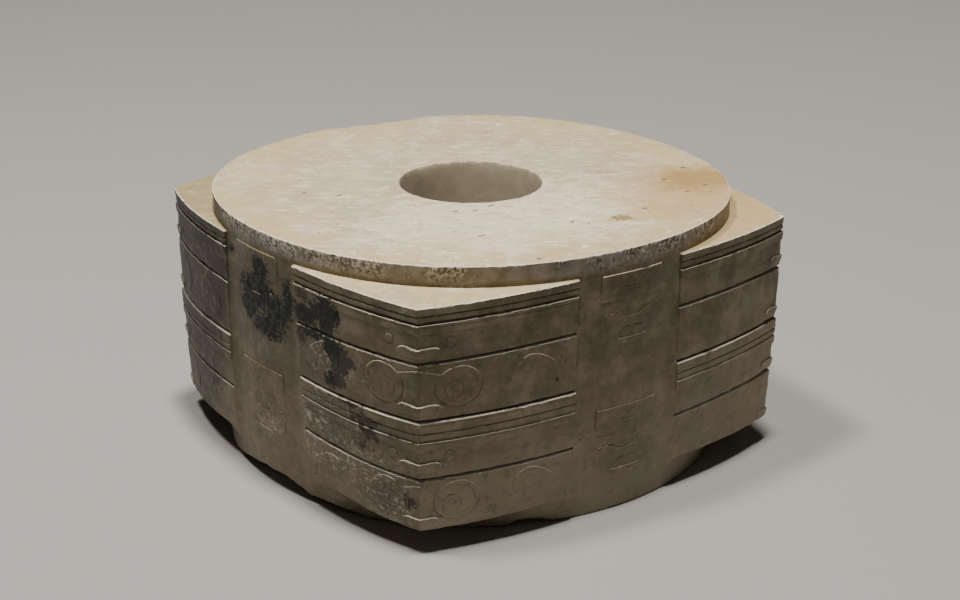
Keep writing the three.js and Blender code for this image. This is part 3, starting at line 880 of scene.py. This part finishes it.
def line_object(context, lattice, surface):
    """All engraved lines as one mesh of edges that lie on the surface, with their depths"""
    form = lattice.form
    points, edges, depths = [], [], []
    for side in range(SIDES):
        drawn = [(np.asarray(line, float), depth) for line, depth in figure_lines(form, side)]
        for hand in (-1, 1):
            corner = corner_of(side, hand)
            tip = form.corner - CORNER_WEAR[corner]
            for r in form.registers:
                drawn += [(np.asarray(line, float) * (hand, 1), depth * CARVING_LEFT[corner])
                          for line, depth in corner_lines(form, tip, r)]
        for line, depth in drawn:
            span = np.hypot(*np.diff(line, axis=0).T)
            along = np.concatenate([[0], np.cumsum(span)])
            count = max(2, int(along[-1] / LINE_STEP))
            at = np.linspace(0, along[-1], count + 1)
            across, up = (np.interp(at, along, line[:, k]) for k in (0, 1))
            x, y = lattice.turned(side, across, np.full(len(at), form.reach + CAST_FROM))
            outward = lattice.turned(side, np.zeros(1), np.ones(1))
            look = Vector((-float(outward[0][0]), -float(outward[1][0]), 0))
            first = len(points)
            for px, py, pz in zip(x, y, up):
                hit = surface.ray_cast(Vector((px, py, pz)) * MM, look)[0]
                if hit is not None:
                    points.append(hit)
                    depths.append(depth)
            edges += [(k, k + 1) for k in range(first, len(points) - 1)]
    mesh = bpy.data.meshes.new("cong_lines")
    mesh.from_pydata(points, edges, [])
    mesh.attributes.new("depth", "FLOAT", "POINT").data.foreach_set("value", depths)
    lines = bpy.data.objects.new("cong_lines", mesh)
    context.collection.objects.link(lines)
    return lines


def engraving_tree(material):
    """Cuts the lines of one object into another, wears its edges, unsettles its faces and
    pits them. It leaves two attributes: recess, in its hollows, cuts and pits, and edge, where it
    wears."""
    group = bpy.data.node_groups.new("engrave", "GeometryNodeTree")
    face = group.interface
    face.new_socket("Geometry", in_out="OUTPUT", socket_type="NodeSocketGeometry")
    inputs = {}
    for name, kind in (("Geometry", "NodeSocketGeometry"), ("Lines", "NodeSocketObject"),
                       ("Line Width", "NodeSocketFloat"), ("Line Depth", "NodeSocketFloat"),
                       ("Spacing", "NodeSocketFloat"), ("Undulation", "NodeSocketFloat"),
                       ("Pit Depth", "NodeSocketFloat"), ("Seed", "NodeSocketInt")):
        inputs[name] = face.new_socket(name, in_out="INPUT", socket_type=kind).identifier
    t = Tree(group)
    entry = group.nodes.new("NodeGroupInput")
    given = {name: Wire(t, entry.outputs[name]) for name in inputs}

    lines = t.add("GeometryNodeObjectInfo", {"transform_space": "ORIGINAL"},
                  {"Object": given["Lines"]}, out="Geometry")
    near = group.nodes.new("GeometryNodeProximity")
    near.target_element = "EDGES"
    group.links.new(lines.socket, near.inputs[0])
    gap, nearest = Wire(t, near.outputs["Distance"]), Wire(t, near.outputs["Position"])
    index = t.add("GeometryNodeSampleNearest", {"domain": "POINT"}, {"Geometry": lines})
    named = t.add("GeometryNodeInputNamedAttribute", {"data_type": "FLOAT"}, {"Name": "depth"})
    depth = t.add("GeometryNodeSampleIndex", {"data_type": "FLOAT", "domain": "POINT"},
                  {"Geometry": lines, "Value": named, "Index": index})

    position = t.add("GeometryNodeInputPosition")
    normal = t.add("GeometryNodeInputNormal")
    spacing = given["Spacing"]
    snap, reach = spacing * ON_LINE, spacing * BESIDE_LINE
    on_line = gap < snap
    spread = t.add("ShaderNodeMapRange", {"interpolation_type": "LINEAR"}, {
        "Value": gap, "From Min": snap, "From Max": reach,
        "To Min": given["Line Width"] * 0.5, "To Max": reach})
    away = t.vector("NORMALIZE", t.vector("SUBTRACT", position, nearest))
    beside = t.vector("ADD", nearest, t.scaled(away, spread))
    drawn = t.add("GeometryNodeSwitch", {"input_type": "VECTOR"},
                  {"Switch": gap < reach, "False": position, "True": beside})
    drawn = t.add("GeometryNodeSwitch", {"input_type": "VECTOR"},
                  {"Switch": on_line, "False": drawn, "True": nearest})

    seed = given["Seed"]

    def noise(size, detail=3.0, rough=0.5):
        shift = t.add("ShaderNodeCombineXYZ", sockets={0: seed * 0.37, 1: size * 3, 2: 0.0})
        return t.clouds(t.vector("ADD", position, shift), size, detail, rough)

    blurred = t.add("GeometryNodeBlurAttribute", {"data_type": "FLOAT_VECTOR"},
                    {"Value": position, "Iterations": 4})
    bulge = t.vector("DOT_PRODUCT", t.vector("SUBTRACT", position, blurred), normal, out="Value")
    edge = bulge.over(0.00003, 0.00012)
    hollow = (bulge * -1).over(0.00005, 0.00022)
    faded = noise(0.009).over(0.30, 0.55)
    cut = on_line * depth * (0.25 + 0.75 * faded)
    chipped = noise(0.0035, 4.0, 0.6).over(0.50, 0.66)
    wear = bulge.most(0).least(0.00016) * (0.10 + 1.5 * chipped)
    swell = (noise(0.022) - 0.5) * 1.6 + (noise(0.006) - 0.5) * 0.7
    pits = noise(0.0016, 2.0).over(0.66, 0.78) * noise(0.013).over(0.45, 0.62)
    push = (swell * given["Undulation"] - cut * given["Line Depth"] - wear
            - pits * given["Pit Depth"])
    pushed = t.scaled(normal, push)

    current = Wire(t, entry.outputs["Geometry"])
    for name, value in (("recess", hollow.most(cut).most(pits * 0.7)), ("edge", edge)):
        current = t.add("GeometryNodeStoreNamedAttribute",
                        {"data_type": "FLOAT", "domain": "POINT"},
                        {"Geometry": current, "Name": name, "Value": value})
    current = t.add("GeometryNodeSetPosition", sockets={
        "Geometry": current, "Position": drawn, "Offset": pushed})
    current = t.add("GeometryNodeRealizeInstances", sockets={"Geometry": current})
    current = t.add("GeometryNodeSetMaterial", sockets={"Geometry": current,
                                                       "Material": material})
    leave = group.nodes.new("NodeGroupOutput")
    group.links.new(current.socket, leave.inputs[0])
    return group, inputs


class CONG_OT_block(bpy.types.Operator):
    """Carve the stone block with its masks, figures, wear and stains"""
    bl_idname = "cong.block"
    bl_label = "Carve Block"

    def execute(self, context):
        scene = context.scene
        carving = scene.cong_carving
        lattice = Lattice(Form(scene.cong_sizes, carving))
        block = bpy.data.objects.new("cong_block", lattice.mesh("cong_block"))
        context.collection.objects.link(block)
        shape = bmesh.new()
        shape.from_mesh(block.data)
        lines = line_object(context, lattice, BVHTree.FromBMesh(shape))
        shape.free()
        tree, inputs = engraving_tree(jade(scene.cong_finish))
        engrave = block.modifiers.new("engrave", "NODES")
        engrave.node_group = tree
        for name, value in (("Lines", lines), ("Line Width", carving.line_width),
                            ("Line Depth", carving.line_depth), ("Spacing", carving.fineness),
                            ("Undulation", carving.undulation),
                            ("Pit Depth", carving.pit_depth), ("Seed", carving.seed)):
            engrave[inputs[name]] = value
        thin = block.modifiers.new("thin", "DECIMATE")
        thin.ratio = carving.triangles / (2 * len(block.data.polygons))
        made = bpy.data.meshes.new_from_object(
            block.evaluated_get(context.evaluated_depsgraph_get()))
        block.modifiers.clear()
        old, block.data = block.data, made
        bpy.data.meshes.remove(old)
        bpy.data.objects.remove(lines)
        made.name = block.name
        made.shade_smooth()
        made.set_sharp_from_angle(angle=math.radians(28))
        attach(block, "root")
        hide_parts(NODE)
        return {"FINISHED"}


# Stains and marks: where they lie across the left side and up, in millimetres, their half sizes
# and how strong they are. The crusts are pale and scratched; the veils darken the stone thinly.
BLACK_STAINS = (
    (3, 76, 5, 4.5, 1.0), (1, 68, 11, 7, 1.0), (11, 63, 7, 7, 1.0), (-5, 62, 7, 6, 0.9),
    (5, 57, 10, 5, 0.75), (17, 68, 3, 9, 0.75), (27, 67.5, 8, 4, 1.0), (38, 70, 6.5, 7, 1.0),
    (30, 62.5, 9, 2.4, 0.8), (32, 69, 6, 4, 0.8), (40, 60, 5, 4, 0.8), (-17, 77, 2.5, 1.8, 0.4),
    (39, 49, 4, 4, 0.55),
)
BROWN_STAINS = (
    (43.5, 57, 5, 7, 1.0), (47, 57, 4.5, 2.6, 0.9), (42, 50, 4.5, 4, 0.8), (54, 40, 8, 3, 0.7),
    (55, 36, 5, 3, 0.72), (48, 44, 6, 1.6, 0.6), (52, 31, 5, 3, 0.5), (26, 74, 5, 3, 0.5),
    (-32, 68, 6, 3, 0.9), (-25, 68, 4.5, 5, 0.9), (-26, 57, 4, 5, 0.85), (-34, 63, 3, 1.6, 0.7),
    (-38, 48, 4.5, 2, 0.8), (70, 17, 4, 3, 0.55), (24, 60, 4, 5, 0.6),
)
CRUSTS = (
    (45, 24, 26, 9, 1.0), (30, 34, 12, 6, 0.8), (60, 14, 14, 7, 0.9), (3, 21, 9, 5, 0.8),
    (35, 44, 12, 3, 0.7), (70, 81, 5, 2.5, 1.0), (45, 56, 12, 10, 0.5), (36, 54, 9, 8, 0.9),
)
VEILS = (
    (33, 54, 12, 10, 1.0), (0, 60, 22, 20, 1.0), (40, 36, 18, 11, 0.8), (0, 78, 18, 9, 0.9),
    (62, 17, 12, 8, 0.7),
)
STAIN_SPREAD = 1.15  # how much larger than its table's half sizes a stain's field is
# Small dark dots on the top, and the heights and half sizes of the darker figures in front
TOP_DOTS = ((-45, 13), (-53, 22), (-24, -24), (-18, -27), (-11, -26), (55, -37), (0, -55),
            (52, -52), (-32, -49), (14, -59), (-31, -77), (28, -58), (62, -50), (70, -30))
FRONT_FIGURES = ((76, 7), (63, 8), (30, 7), (18, 8))


class Stone(Tree):
    """The jade's node tree, with the coordinates, zones and patterns that its finish is made of"""

    def __init__(self, tree, tones):
        super().__init__(tree)
        self.tones = tones
        place = self.add("ShaderNodeTexCoord", out="Object")
        self.place = self.vector("MULTIPLY", place, (1 / MM,) * 3)
        self.x, self.y, self.z = self.parts(self.place)
        normal = self.add("ShaderNodeNewGeometry", out="Normal")
        self.nx, self.ny, self.nz = self.parts(normal)
        self.recess, self.edge = (
            self.add("ShaderNodeAttribute", {"attribute_type": "GEOMETRY",
                                             "attribute_name": name}, out="Fac")
            for name in ("recess", "edge"))
        flat = self.vector("MULTIPLY", self.place, (1, 1, 0))
        self.from_axis = self.vector("LENGTH", flat, out="Value")
        self.up = self.nz.over(0.55, 0.85) * self.z.over(80.4, 81.1)
        self.left = (self.nx * -1).over(0.3, 0.6)
        self.low = 1 - self.z.over(2, 62)
        centre = self.math("ABSOLUTE", self.x).least(self.math("ABSOLUTE", self.y))
        self.groove = 1 - centre.over(17, 20)
        self.count = 0

    def parts(self, vector):
        return [self.add("ShaderNodeSeparateXYZ", sockets={0: vector}, out=k) for k in range(3)]

    def noise(self, size, detail=3.0, rough=0.5, stretch=(1, 1, 1), swirl=0.0, place=None):
        """Clouds of a size in millimetres, each call's in a place of its own"""
        self.count += 1
        shift = (self.count * 37.1, self.count * 11.7, self.count * 23.3)
        place = self.vector("MULTIPLY_ADD", place or self.place, stretch, shift)
        return self.clouds(place, size, detail, rough, swirl)

    def blob(self, place, middle, reach):
        """1 in the middle, 0 at its reach, and less beyond"""
        away = self.vector("DIVIDE", self.vector("SUBTRACT", place, middle), reach)
        return 1 - self.vector("LENGTH", away, out="Value")

    def stains(self, table):
        """The strongest of a table's stains on the left side"""
        flat = self.add("ShaderNodeCombineXYZ", sockets={0: self.y * -1, 1: self.z, 2: 0.0})
        field = None
        for across, up, wide, high, strength in table:
            reach = (wide * STAIN_SPREAD, high * STAIN_SPREAD, 1)
            here = self.blob(flat, (across, up, 0), reach) * strength
            field = here if field is None else field.most(here)
        return field

    def veined(self, base, layers):
        """A colour with others over it in clouds: each layer's noise, where it starts and is full,
        its share and its colour"""
        for noise, span, share, over in layers:
            base = self.mix(self.noise(*noise).over(*span) * share, base, over)
        return base


def polished_top(t):
    """The colour of the polished faces that look up, and the dark specks in it"""
    along, athwart = t.x * 0.80 - t.y * 0.60, t.x * 0.60 + t.y * 0.80
    grain = t.add("ShaderNodeCombineXYZ", sockets={0: along * 0.55, 1: athwart, 2: t.z})
    pale_zone = t.blob(t.place, (-18, -42, 89), (80, 52, 200)).over(0.0, 0.7)
    clouds = (t.noise(4.5, 6.0, 0.7, place=grain) + pale_zone * 0.17).over(0.44, 0.72)
    flecks = (t.noise(2.1, 4.0, 0.65, place=grain) + pale_zone * 0.02).over(0.60, 0.66) * (
        t.noise(16, 2.0) + pale_zone * 0.14).over(0.44, 0.60)
    top = t.veined(t.tones["polished"], (
        ((26, 4.0), (0.36, 0.64), 0.75, (0.50, 0.41, 0.275)),
        ((12, 4.0, 0.6), (0.52, 0.66), 0.5, (0.60, 0.48, 0.40))))
    top = t.mix(clouds * 0.7, top, t.tones["cloud"])
    near_rim = t.from_axis.over(46, 84) * t.noise(15, 4.0, 0.6).over(0.40, 0.56)
    top = t.mix(near_rim * 0.7, top, t.tones["honey"])
    top = t.mix(flecks * 0.9, top, (1.0, 0.94, 0.80))

    # Warm patches by the rim, on the right
    ragged = (t.noise(11, 5.0, 0.65) - 0.5) * 1.1
    for middle, reach, span, share, tone in (
            ((50, -52, 89), (40, 34, 60), (0.0, 0.8), 0.75, (0.62, 0.42, 0.22)),
            ((38, -66, 89), (30, 20, 60), (0.0, 0.7), 0.6, (0.60, 0.43, 0.215)),
            ((65, -42, 89), (28, 22, 60), (0.05, 0.8), 0.8, t.tones["ochre"])):
        patch = t.blob(t.place, middle, reach) + ragged
        top = t.mix(patch.over(*span) * share, top, tone)

    specks = t.noise(1.1, 2.0, 0.5).over(0.655, 0.70) * t.noise(13, 2.0).over(0.44, 0.58)
    top = t.veined(top, (((6, 5.0, 0.7), (0.64, 0.78), 0.45, (0.37, 0.32, 0.245)),))
    top = t.mix(specks * 0.9, top, (0.15, 0.12, 0.08))
    mark = t.blob(t.place, (15.5, -61, 89), (6, 5, 20)) + (t.noise(1.6, 4.0, 0.6) - 0.5) * 1.9
    top = t.mix(mark.over(0.2, 0.55) * 0.85, top, (0.30, 0.215, 0.09))
    for dot in TOP_DOTS:
        dark = t.blob(t.place, (*dot, 89), (2.0, 1.3, 5)) + (t.noise(0.9, 3.0) - 0.5) * 1.5
        top = t.mix(dark.over(0.3, 0.55) * 0.8, top, (0.14, 0.11, 0.07))

    # The shoulder is browner, most of all at its left and right corners
    shoulder = 1 - t.z.over(84, 87)
    worn = t.noise(4.0, 5.0, 0.65).over(0.46, 0.62)
    top = t.mix(shoulder * worn * 0.45, top, (0.46, 0.38, 0.24))
    top = t.mix((t.y - t.x).over(60, 110) * shoulder * (0.85 - clouds * 0.5), top,
                (0.335, 0.27, 0.145))
    top = t.mix((t.x - t.y).over(60, 110) * shoulder * 0.6, top, (0.56, 0.40, 0.195))
    return top, specks


def bare_sides(t):
    """The colour of the sides before stains and the carving's darker tone, with painted shade
    and painted floor bounce light in it
    """
    mottle = t.noise(15, 5.0, 0.6, (1, 1, 1.3), 0.5)
    fine = t.noise(3.2, 5.0, 0.65)
    side = t.mix(mottle.over(0.33, 0.67), t.tones["side_dark"], t.tones["side"])
    side = t.veined(side, (
        ((11, 4.0, 0.6), (0.44, 0.68), 0.6, t.tones["side_grey"]),
        ((8, 4.0, 0.6), (0.58, 0.72), 0.45, (0.105, 0.102, 0.052)),
        ((9, 4.0, 0.6), (0.60, 0.74), 0.4, (0.165, 0.130, 0.120))))
    # Painted floor bounce light: the sides turn greyer and lighter towards the bottom, less so on
    # the left side; partly also the stone's own greyer tone low down
    side = t.mix(t.low * (0.76 - t.left * 0.42), side, t.tones["side_grey"])
    # Painted shade: the whole left side is made darker
    side = t.mix(t.left * 0.24, side, (0.045, 0.036, 0.022))
    # Painted shade: the far part of the left side is made near black, where it stands in deep shade
    far_left_painted_shade = t.blob(t.place, (-88, 64, 60), (66, 52, 72)) + (mottle - 0.5) * 0.8
    side = t.mix(far_left_painted_shade.over(0.0, 0.35) * 0.95, side, (0.021, 0.016, 0.008))
    warm = t.blob(t.place, (74, -74, 22), (40, 34, 48)) + (t.noise(8, 4.0) - 0.5) * 0.8
    side = t.mix(warm.over(0.1, 0.8) * 0.5, side, (0.32, 0.225, 0.125))
    shade = None
    for height, reach in FRONT_FIGURES:
        figure = t.blob(t.place, (1, -86, height), (15, 30, reach)) + (mottle - 0.5) * 0.8
        shade = figure if shade is None else shade.most(figure)
    side = t.mix(shade.over(0.0, 0.4) * 0.4, side, (0.085, 0.062, 0.030))
    side = t.mix(fine.over(0.50, 0.70) * 0.35, side, (0.29, 0.245, 0.175))
    return t.mix(fine.over(0.48, 0.30) * 0.4, side, (0.065, 0.049, 0.028))


def stained(t, side):
    """The left side under its veils, crusts and stains. Gives its colour, where it is black and
    brown, and the crumbs that the stains are made of."""
    ragged = (t.noise(3.8, 6.0, 0.75, swirl=1.2) - 0.5) * 2.6
    crumbs = t.noise(0.9, 5.0, 0.7)
    veil = (t.stains(VEILS) + ragged * 0.6).over(0.0, 0.5) * t.left
    side = t.mix(veil * t.noise(1.6, 5.0, 0.7).over(0.38, 0.60) * 0.6, side,
                 (0.070, 0.058, 0.046))
    crusty = (t.stains(CRUSTS) + ragged * 0.5).over(0.0, 0.6) * t.left
    scratched = t.noise(1.6, 6.0, 0.75, (1, 0.7, 1.2), 0.6).over(0.535, 0.60)
    side = t.mix(crusty * scratched * 0.8, side, (0.47, 0.43, 0.36))
    brown = (t.stains(BROWN_STAINS) + ragged * 0.6).over(-0.45, 0.95) * t.left
    brown = (brown * 0.8 + crumbs).over(0.84, 0.97)
    side = t.mix(brown * 0.95, side, (0.022, 0.015, 0.008))
    black = (t.stains(BLACK_STAINS) + ragged * 0.6).over(-0.55, 0.95) * t.left
    black = (black * 0.8 + crumbs).over(0.86, 0.99)
    side = t.mix(black, side, t.tones["stain"])
    side = t.mix(black * t.noise(2.2, 5.0, 0.7).over(0.48, 0.60) * (0.35 + t.groove * 0.35),
                 side, (0.052, 0.062, 0.054))
    side = t.mix(black * t.noise(1.0, 3.0).over(0.62, 0.68) * 0.5, side, (0.17, 0.165, 0.135))
    return side, black, brown, crumbs


def weathered(t, side, stain):
    """A darker tone in the carving's hollows, pale wear with painted highlight on up-facing crests,
    crust under the upper rim, with painted light, and along the foot. Gives the colour, the grit in
    the crust and where it has flaked."""
    # The carving's hollows, cuts and pits are made darker
    side = t.mix(t.recess.over(0.15, 1.0) * 0.72, side, t.tones["grime"])
    # Pale crust on worn crests, with painted highlight: only crests that face up are lightened, as
    # ledges catch the light from above. Crown and kept set where it shows: it is held back in the
    # grooves, but for the left side's crown lines, at the right and at the back
    crown = t.left * t.z.over(80.5, 81.5).most(t.z.over(39, 40) * (1 - t.z.over(42.5, 43.5)))
    kept = (1 - t.groove * 0.82 * (1 - crown)) * (1 - t.x.over(50, 62) * 0.6) * (
        1 - t.y.over(20, 40) * 0.6)
    wear_and_highlight = t.edge.over(0.0, 0.7) * t.nz.over(0.10, 0.45) * (1 - stain) * kept
    side = t.mix(wear_and_highlight * t.noise(5, 4.0, 0.6).over(0.26, 0.46), side, t.tones["crust"])
    collar = t.z.over(82.3, 84.5)
    grit = t.noise(1.1, 3.0, 0.6)
    patch = t.noise(10, 3.0, 0.6)
    zone = t.blob(t.place, (-84, -18, 87), (50, 52, 30)).most(
        t.blob(t.place, (20, -86, 87), (28, 40, 30))).over(0.0, 0.35)
    flaked = t.z.over(82.5, 88.7) * (patch + zone * 0.2 - 0.04).over(0.52, 0.62)
    # Pale grey crust on the upper collar, with painted light: paler on the faces that look to the
    # front and left, darker on those that look away
    painted_front_light = (t.nx * -0.7 - t.ny * 0.7).over(0.45, 0.95)
    side = t.mix(collar * (0.35 + t.noise(7, 4.0, 0.6).over(0.34, 0.62) * 0.65)
                 * (0.2 + painted_front_light * 0.6), side, (0.375, 0.34, 0.30))
    dark = grit.over(0.46, 0.38) * (patch + zone * 0.14 - 0.04).over(0.46, 0.60)
    side = t.mix(collar * dark * 0.8, side, (0.045, 0.038, 0.028))
    side = t.mix(flaked * grit.over(0.52, 0.58) * 0.9, side, t.tones["crust"])
    bare = t.noise(2.4, 5.0, 0.7).over(0.60, 0.68) * t.noise(24, 2.0).over(0.50, 0.64)
    return t.mix(bare * t.low * 0.7, side, (0.42, 0.385, 0.32)), grit, flaked


def jade(finish):
    """The weathered stone as one material"""
    material = bare_material("weathered_jade")
    t = Stone(material.node_tree,
              {name: tuple(getattr(finish, name)) for name in finish.__annotations__})
    top, specks = polished_top(t)
    side, black, brown, crumbs = stained(t, bare_sides(t))
    side, grit, flaked = weathered(t, side, black.most(brown))
    inside = t.veined((0.375, 0.32, 0.235), (
        ((12, 4.0, 0.6), (0.4, 0.62), 1.0, (0.44, 0.38, 0.285)),))
    side = t.mix(1 - t.from_axis.over(24.5, 26), side, inside)
    # Painted highlight: a near-white line on the up-facing bevels round the outer rims at the top
    lip = t.edge * t.z.over(80, 82) * t.from_axis.over(26, 30) * t.nz.over(0.05, 0.3) * (
        1 - t.nz.over(0.955, 0.99))
    stone = t.mix(lip * grit.over(0.34, 0.48), t.mix(t.up, side, top), (0.96, 0.90, 0.77))

    rough = 0.40 + 0.12 * t.noise(9, 3.0) + (1 - t.up) * 0.06 + black * 0.18 + t.recess * 0.15
    height = (t.noise(0.9, 3.0, 0.6) * 0.5 + t.noise(3.5, 4.0, 0.6) * 0.8
              + black * crumbs * 1.2 + flaked * grit * 1.2 - specks * 0.8)
    bump = t.add("ShaderNodeBump", sockets={"Strength": 0.5, "Distance": 0.00016,
                                            "Height": height})
    t.finish({"Base Color": stone, "Roughness": rough, "Normal": bump, "IOR": 1.46})
    return material


class CONG_OT_stage(bpy.types.Operator):
    """Lay the floor, hang the lights and place the camera"""
    bl_idname = "cong.stage"
    bl_label = "Set Stage"

    def execute(self, context):
        scene, stage = context.scene, context.scene.cong_stage
        half = stage.floor_width / 2
        mesh = bpy.data.meshes.new("floor")
        mesh.from_pydata([(-half, -half, 0), (half, -half, 0), (half, half, 0),
                          (-half, half, 0)], [], [(0, 1, 2, 3)])
        floor = bpy.data.objects.new("floor", mesh)
        context.collection.objects.link(floor)
        material, tone = bare_material("floor"), stage.floor_tone
        Tree(material.node_tree).finish({
            "Base Color": (tone, tone * 0.97, tone * 0.94, 1), "Roughness": 0.8})
        mesh.materials.append(material)

        for name, *placed in LIGHTS:
            add_light(context, name, getattr(stage, f"{name}_power"), *placed)
        world = bpy.data.worlds.new("air")
        world.use_nodes = True
        background = world.node_tree.nodes["Background"]
        background.inputs["Color"].default_value = AIR_COLOUR
        background.inputs["Strength"].default_value = stage.air
        scene.world = world
        add_camera(context)
        return {"FINISHED"}


def add_light(context, name, energy, place, target, size, tint):
    lamp = bpy.data.lights.new(name, "AREA")
    lamp.shape, lamp.size, lamp.energy, lamp.color = "DISK", size, energy, tint
    light = bpy.data.objects.new(name, lamp)
    light.location = place
    look = Vector(target) - Vector(place)
    light.rotation_mode = "QUATERNION"
    light.rotation_quaternion = look.to_track_quat("-Z", "Y")
    context.collection.objects.link(light)


def add_camera(context):
    """The camera stands where the photograph was taken from"""
    yaw, pitch, roll = (math.radians(a) for a in CAMERA_TURN)
    forward = Vector((math.sin(yaw) * math.cos(pitch), math.cos(yaw) * math.cos(pitch),
                      -math.sin(pitch)))
    level = Vector((math.cos(yaw), -math.sin(yaw), 0))
    upright = level.cross(forward)
    right = math.cos(roll) * level + math.sin(roll) * upright
    up = math.cos(roll) * upright - math.sin(roll) * level
    camera = bpy.data.objects.new("camera", bpy.data.cameras.new("camera"))
    turn = Matrix((right, up, -forward)).transposed().to_4x4()
    camera.matrix_world = Matrix.Translation(CAMERA_PLACE) @ turn
    camera.data.sensor_width = 36
    camera.data.lens = CAMERA_LENS
    context.collection.objects.link(camera)
    context.scene.camera = camera


class CONG_PT_panel(bpy.types.Panel):
    """Sizes, finish and stage of the cong"""
    bl_idname = "CONG_PT_panel"
    bl_label = "Jade Cong"
    bl_space_type = "VIEW_3D"
    bl_region_type = "UI"
    bl_category = "Cong"

    def draw(self, context):
        for name in GROUPS:
            group = getattr(context.scene, name)
            column = self.layout.column(align=True)
            for prop in group.__annotations__:
                column.prop(group, prop)
        for operator in (CONG_OT_block, CONG_OT_stage):
            self.layout.operator(operator.bl_idname)


GROUPS = {"cong_sizes": CongSizes, "cong_carving": CongCarving, "cong_finish": CongFinish,
          "cong_stage": CongStage}
CLASSES = (*GROUPS.values(), CONG_OT_block, CONG_OT_stage, CONG_PT_panel)


def register():
    for cls in CLASSES:
        bpy.utils.register_class(cls)
    for name, group in GROUPS.items():
        setattr(bpy.types.Scene, name, PointerProperty(type=group))


def unregister():
    for name in GROUPS:
        delattr(bpy.types.Scene, name)
    for cls in reversed(CLASSES):
        bpy.utils.unregister_class(cls)


def main():
    register()
    bpy.ops.cong.block()
    bpy.ops.cong.stage()


if __name__ == "__main__":
    main()
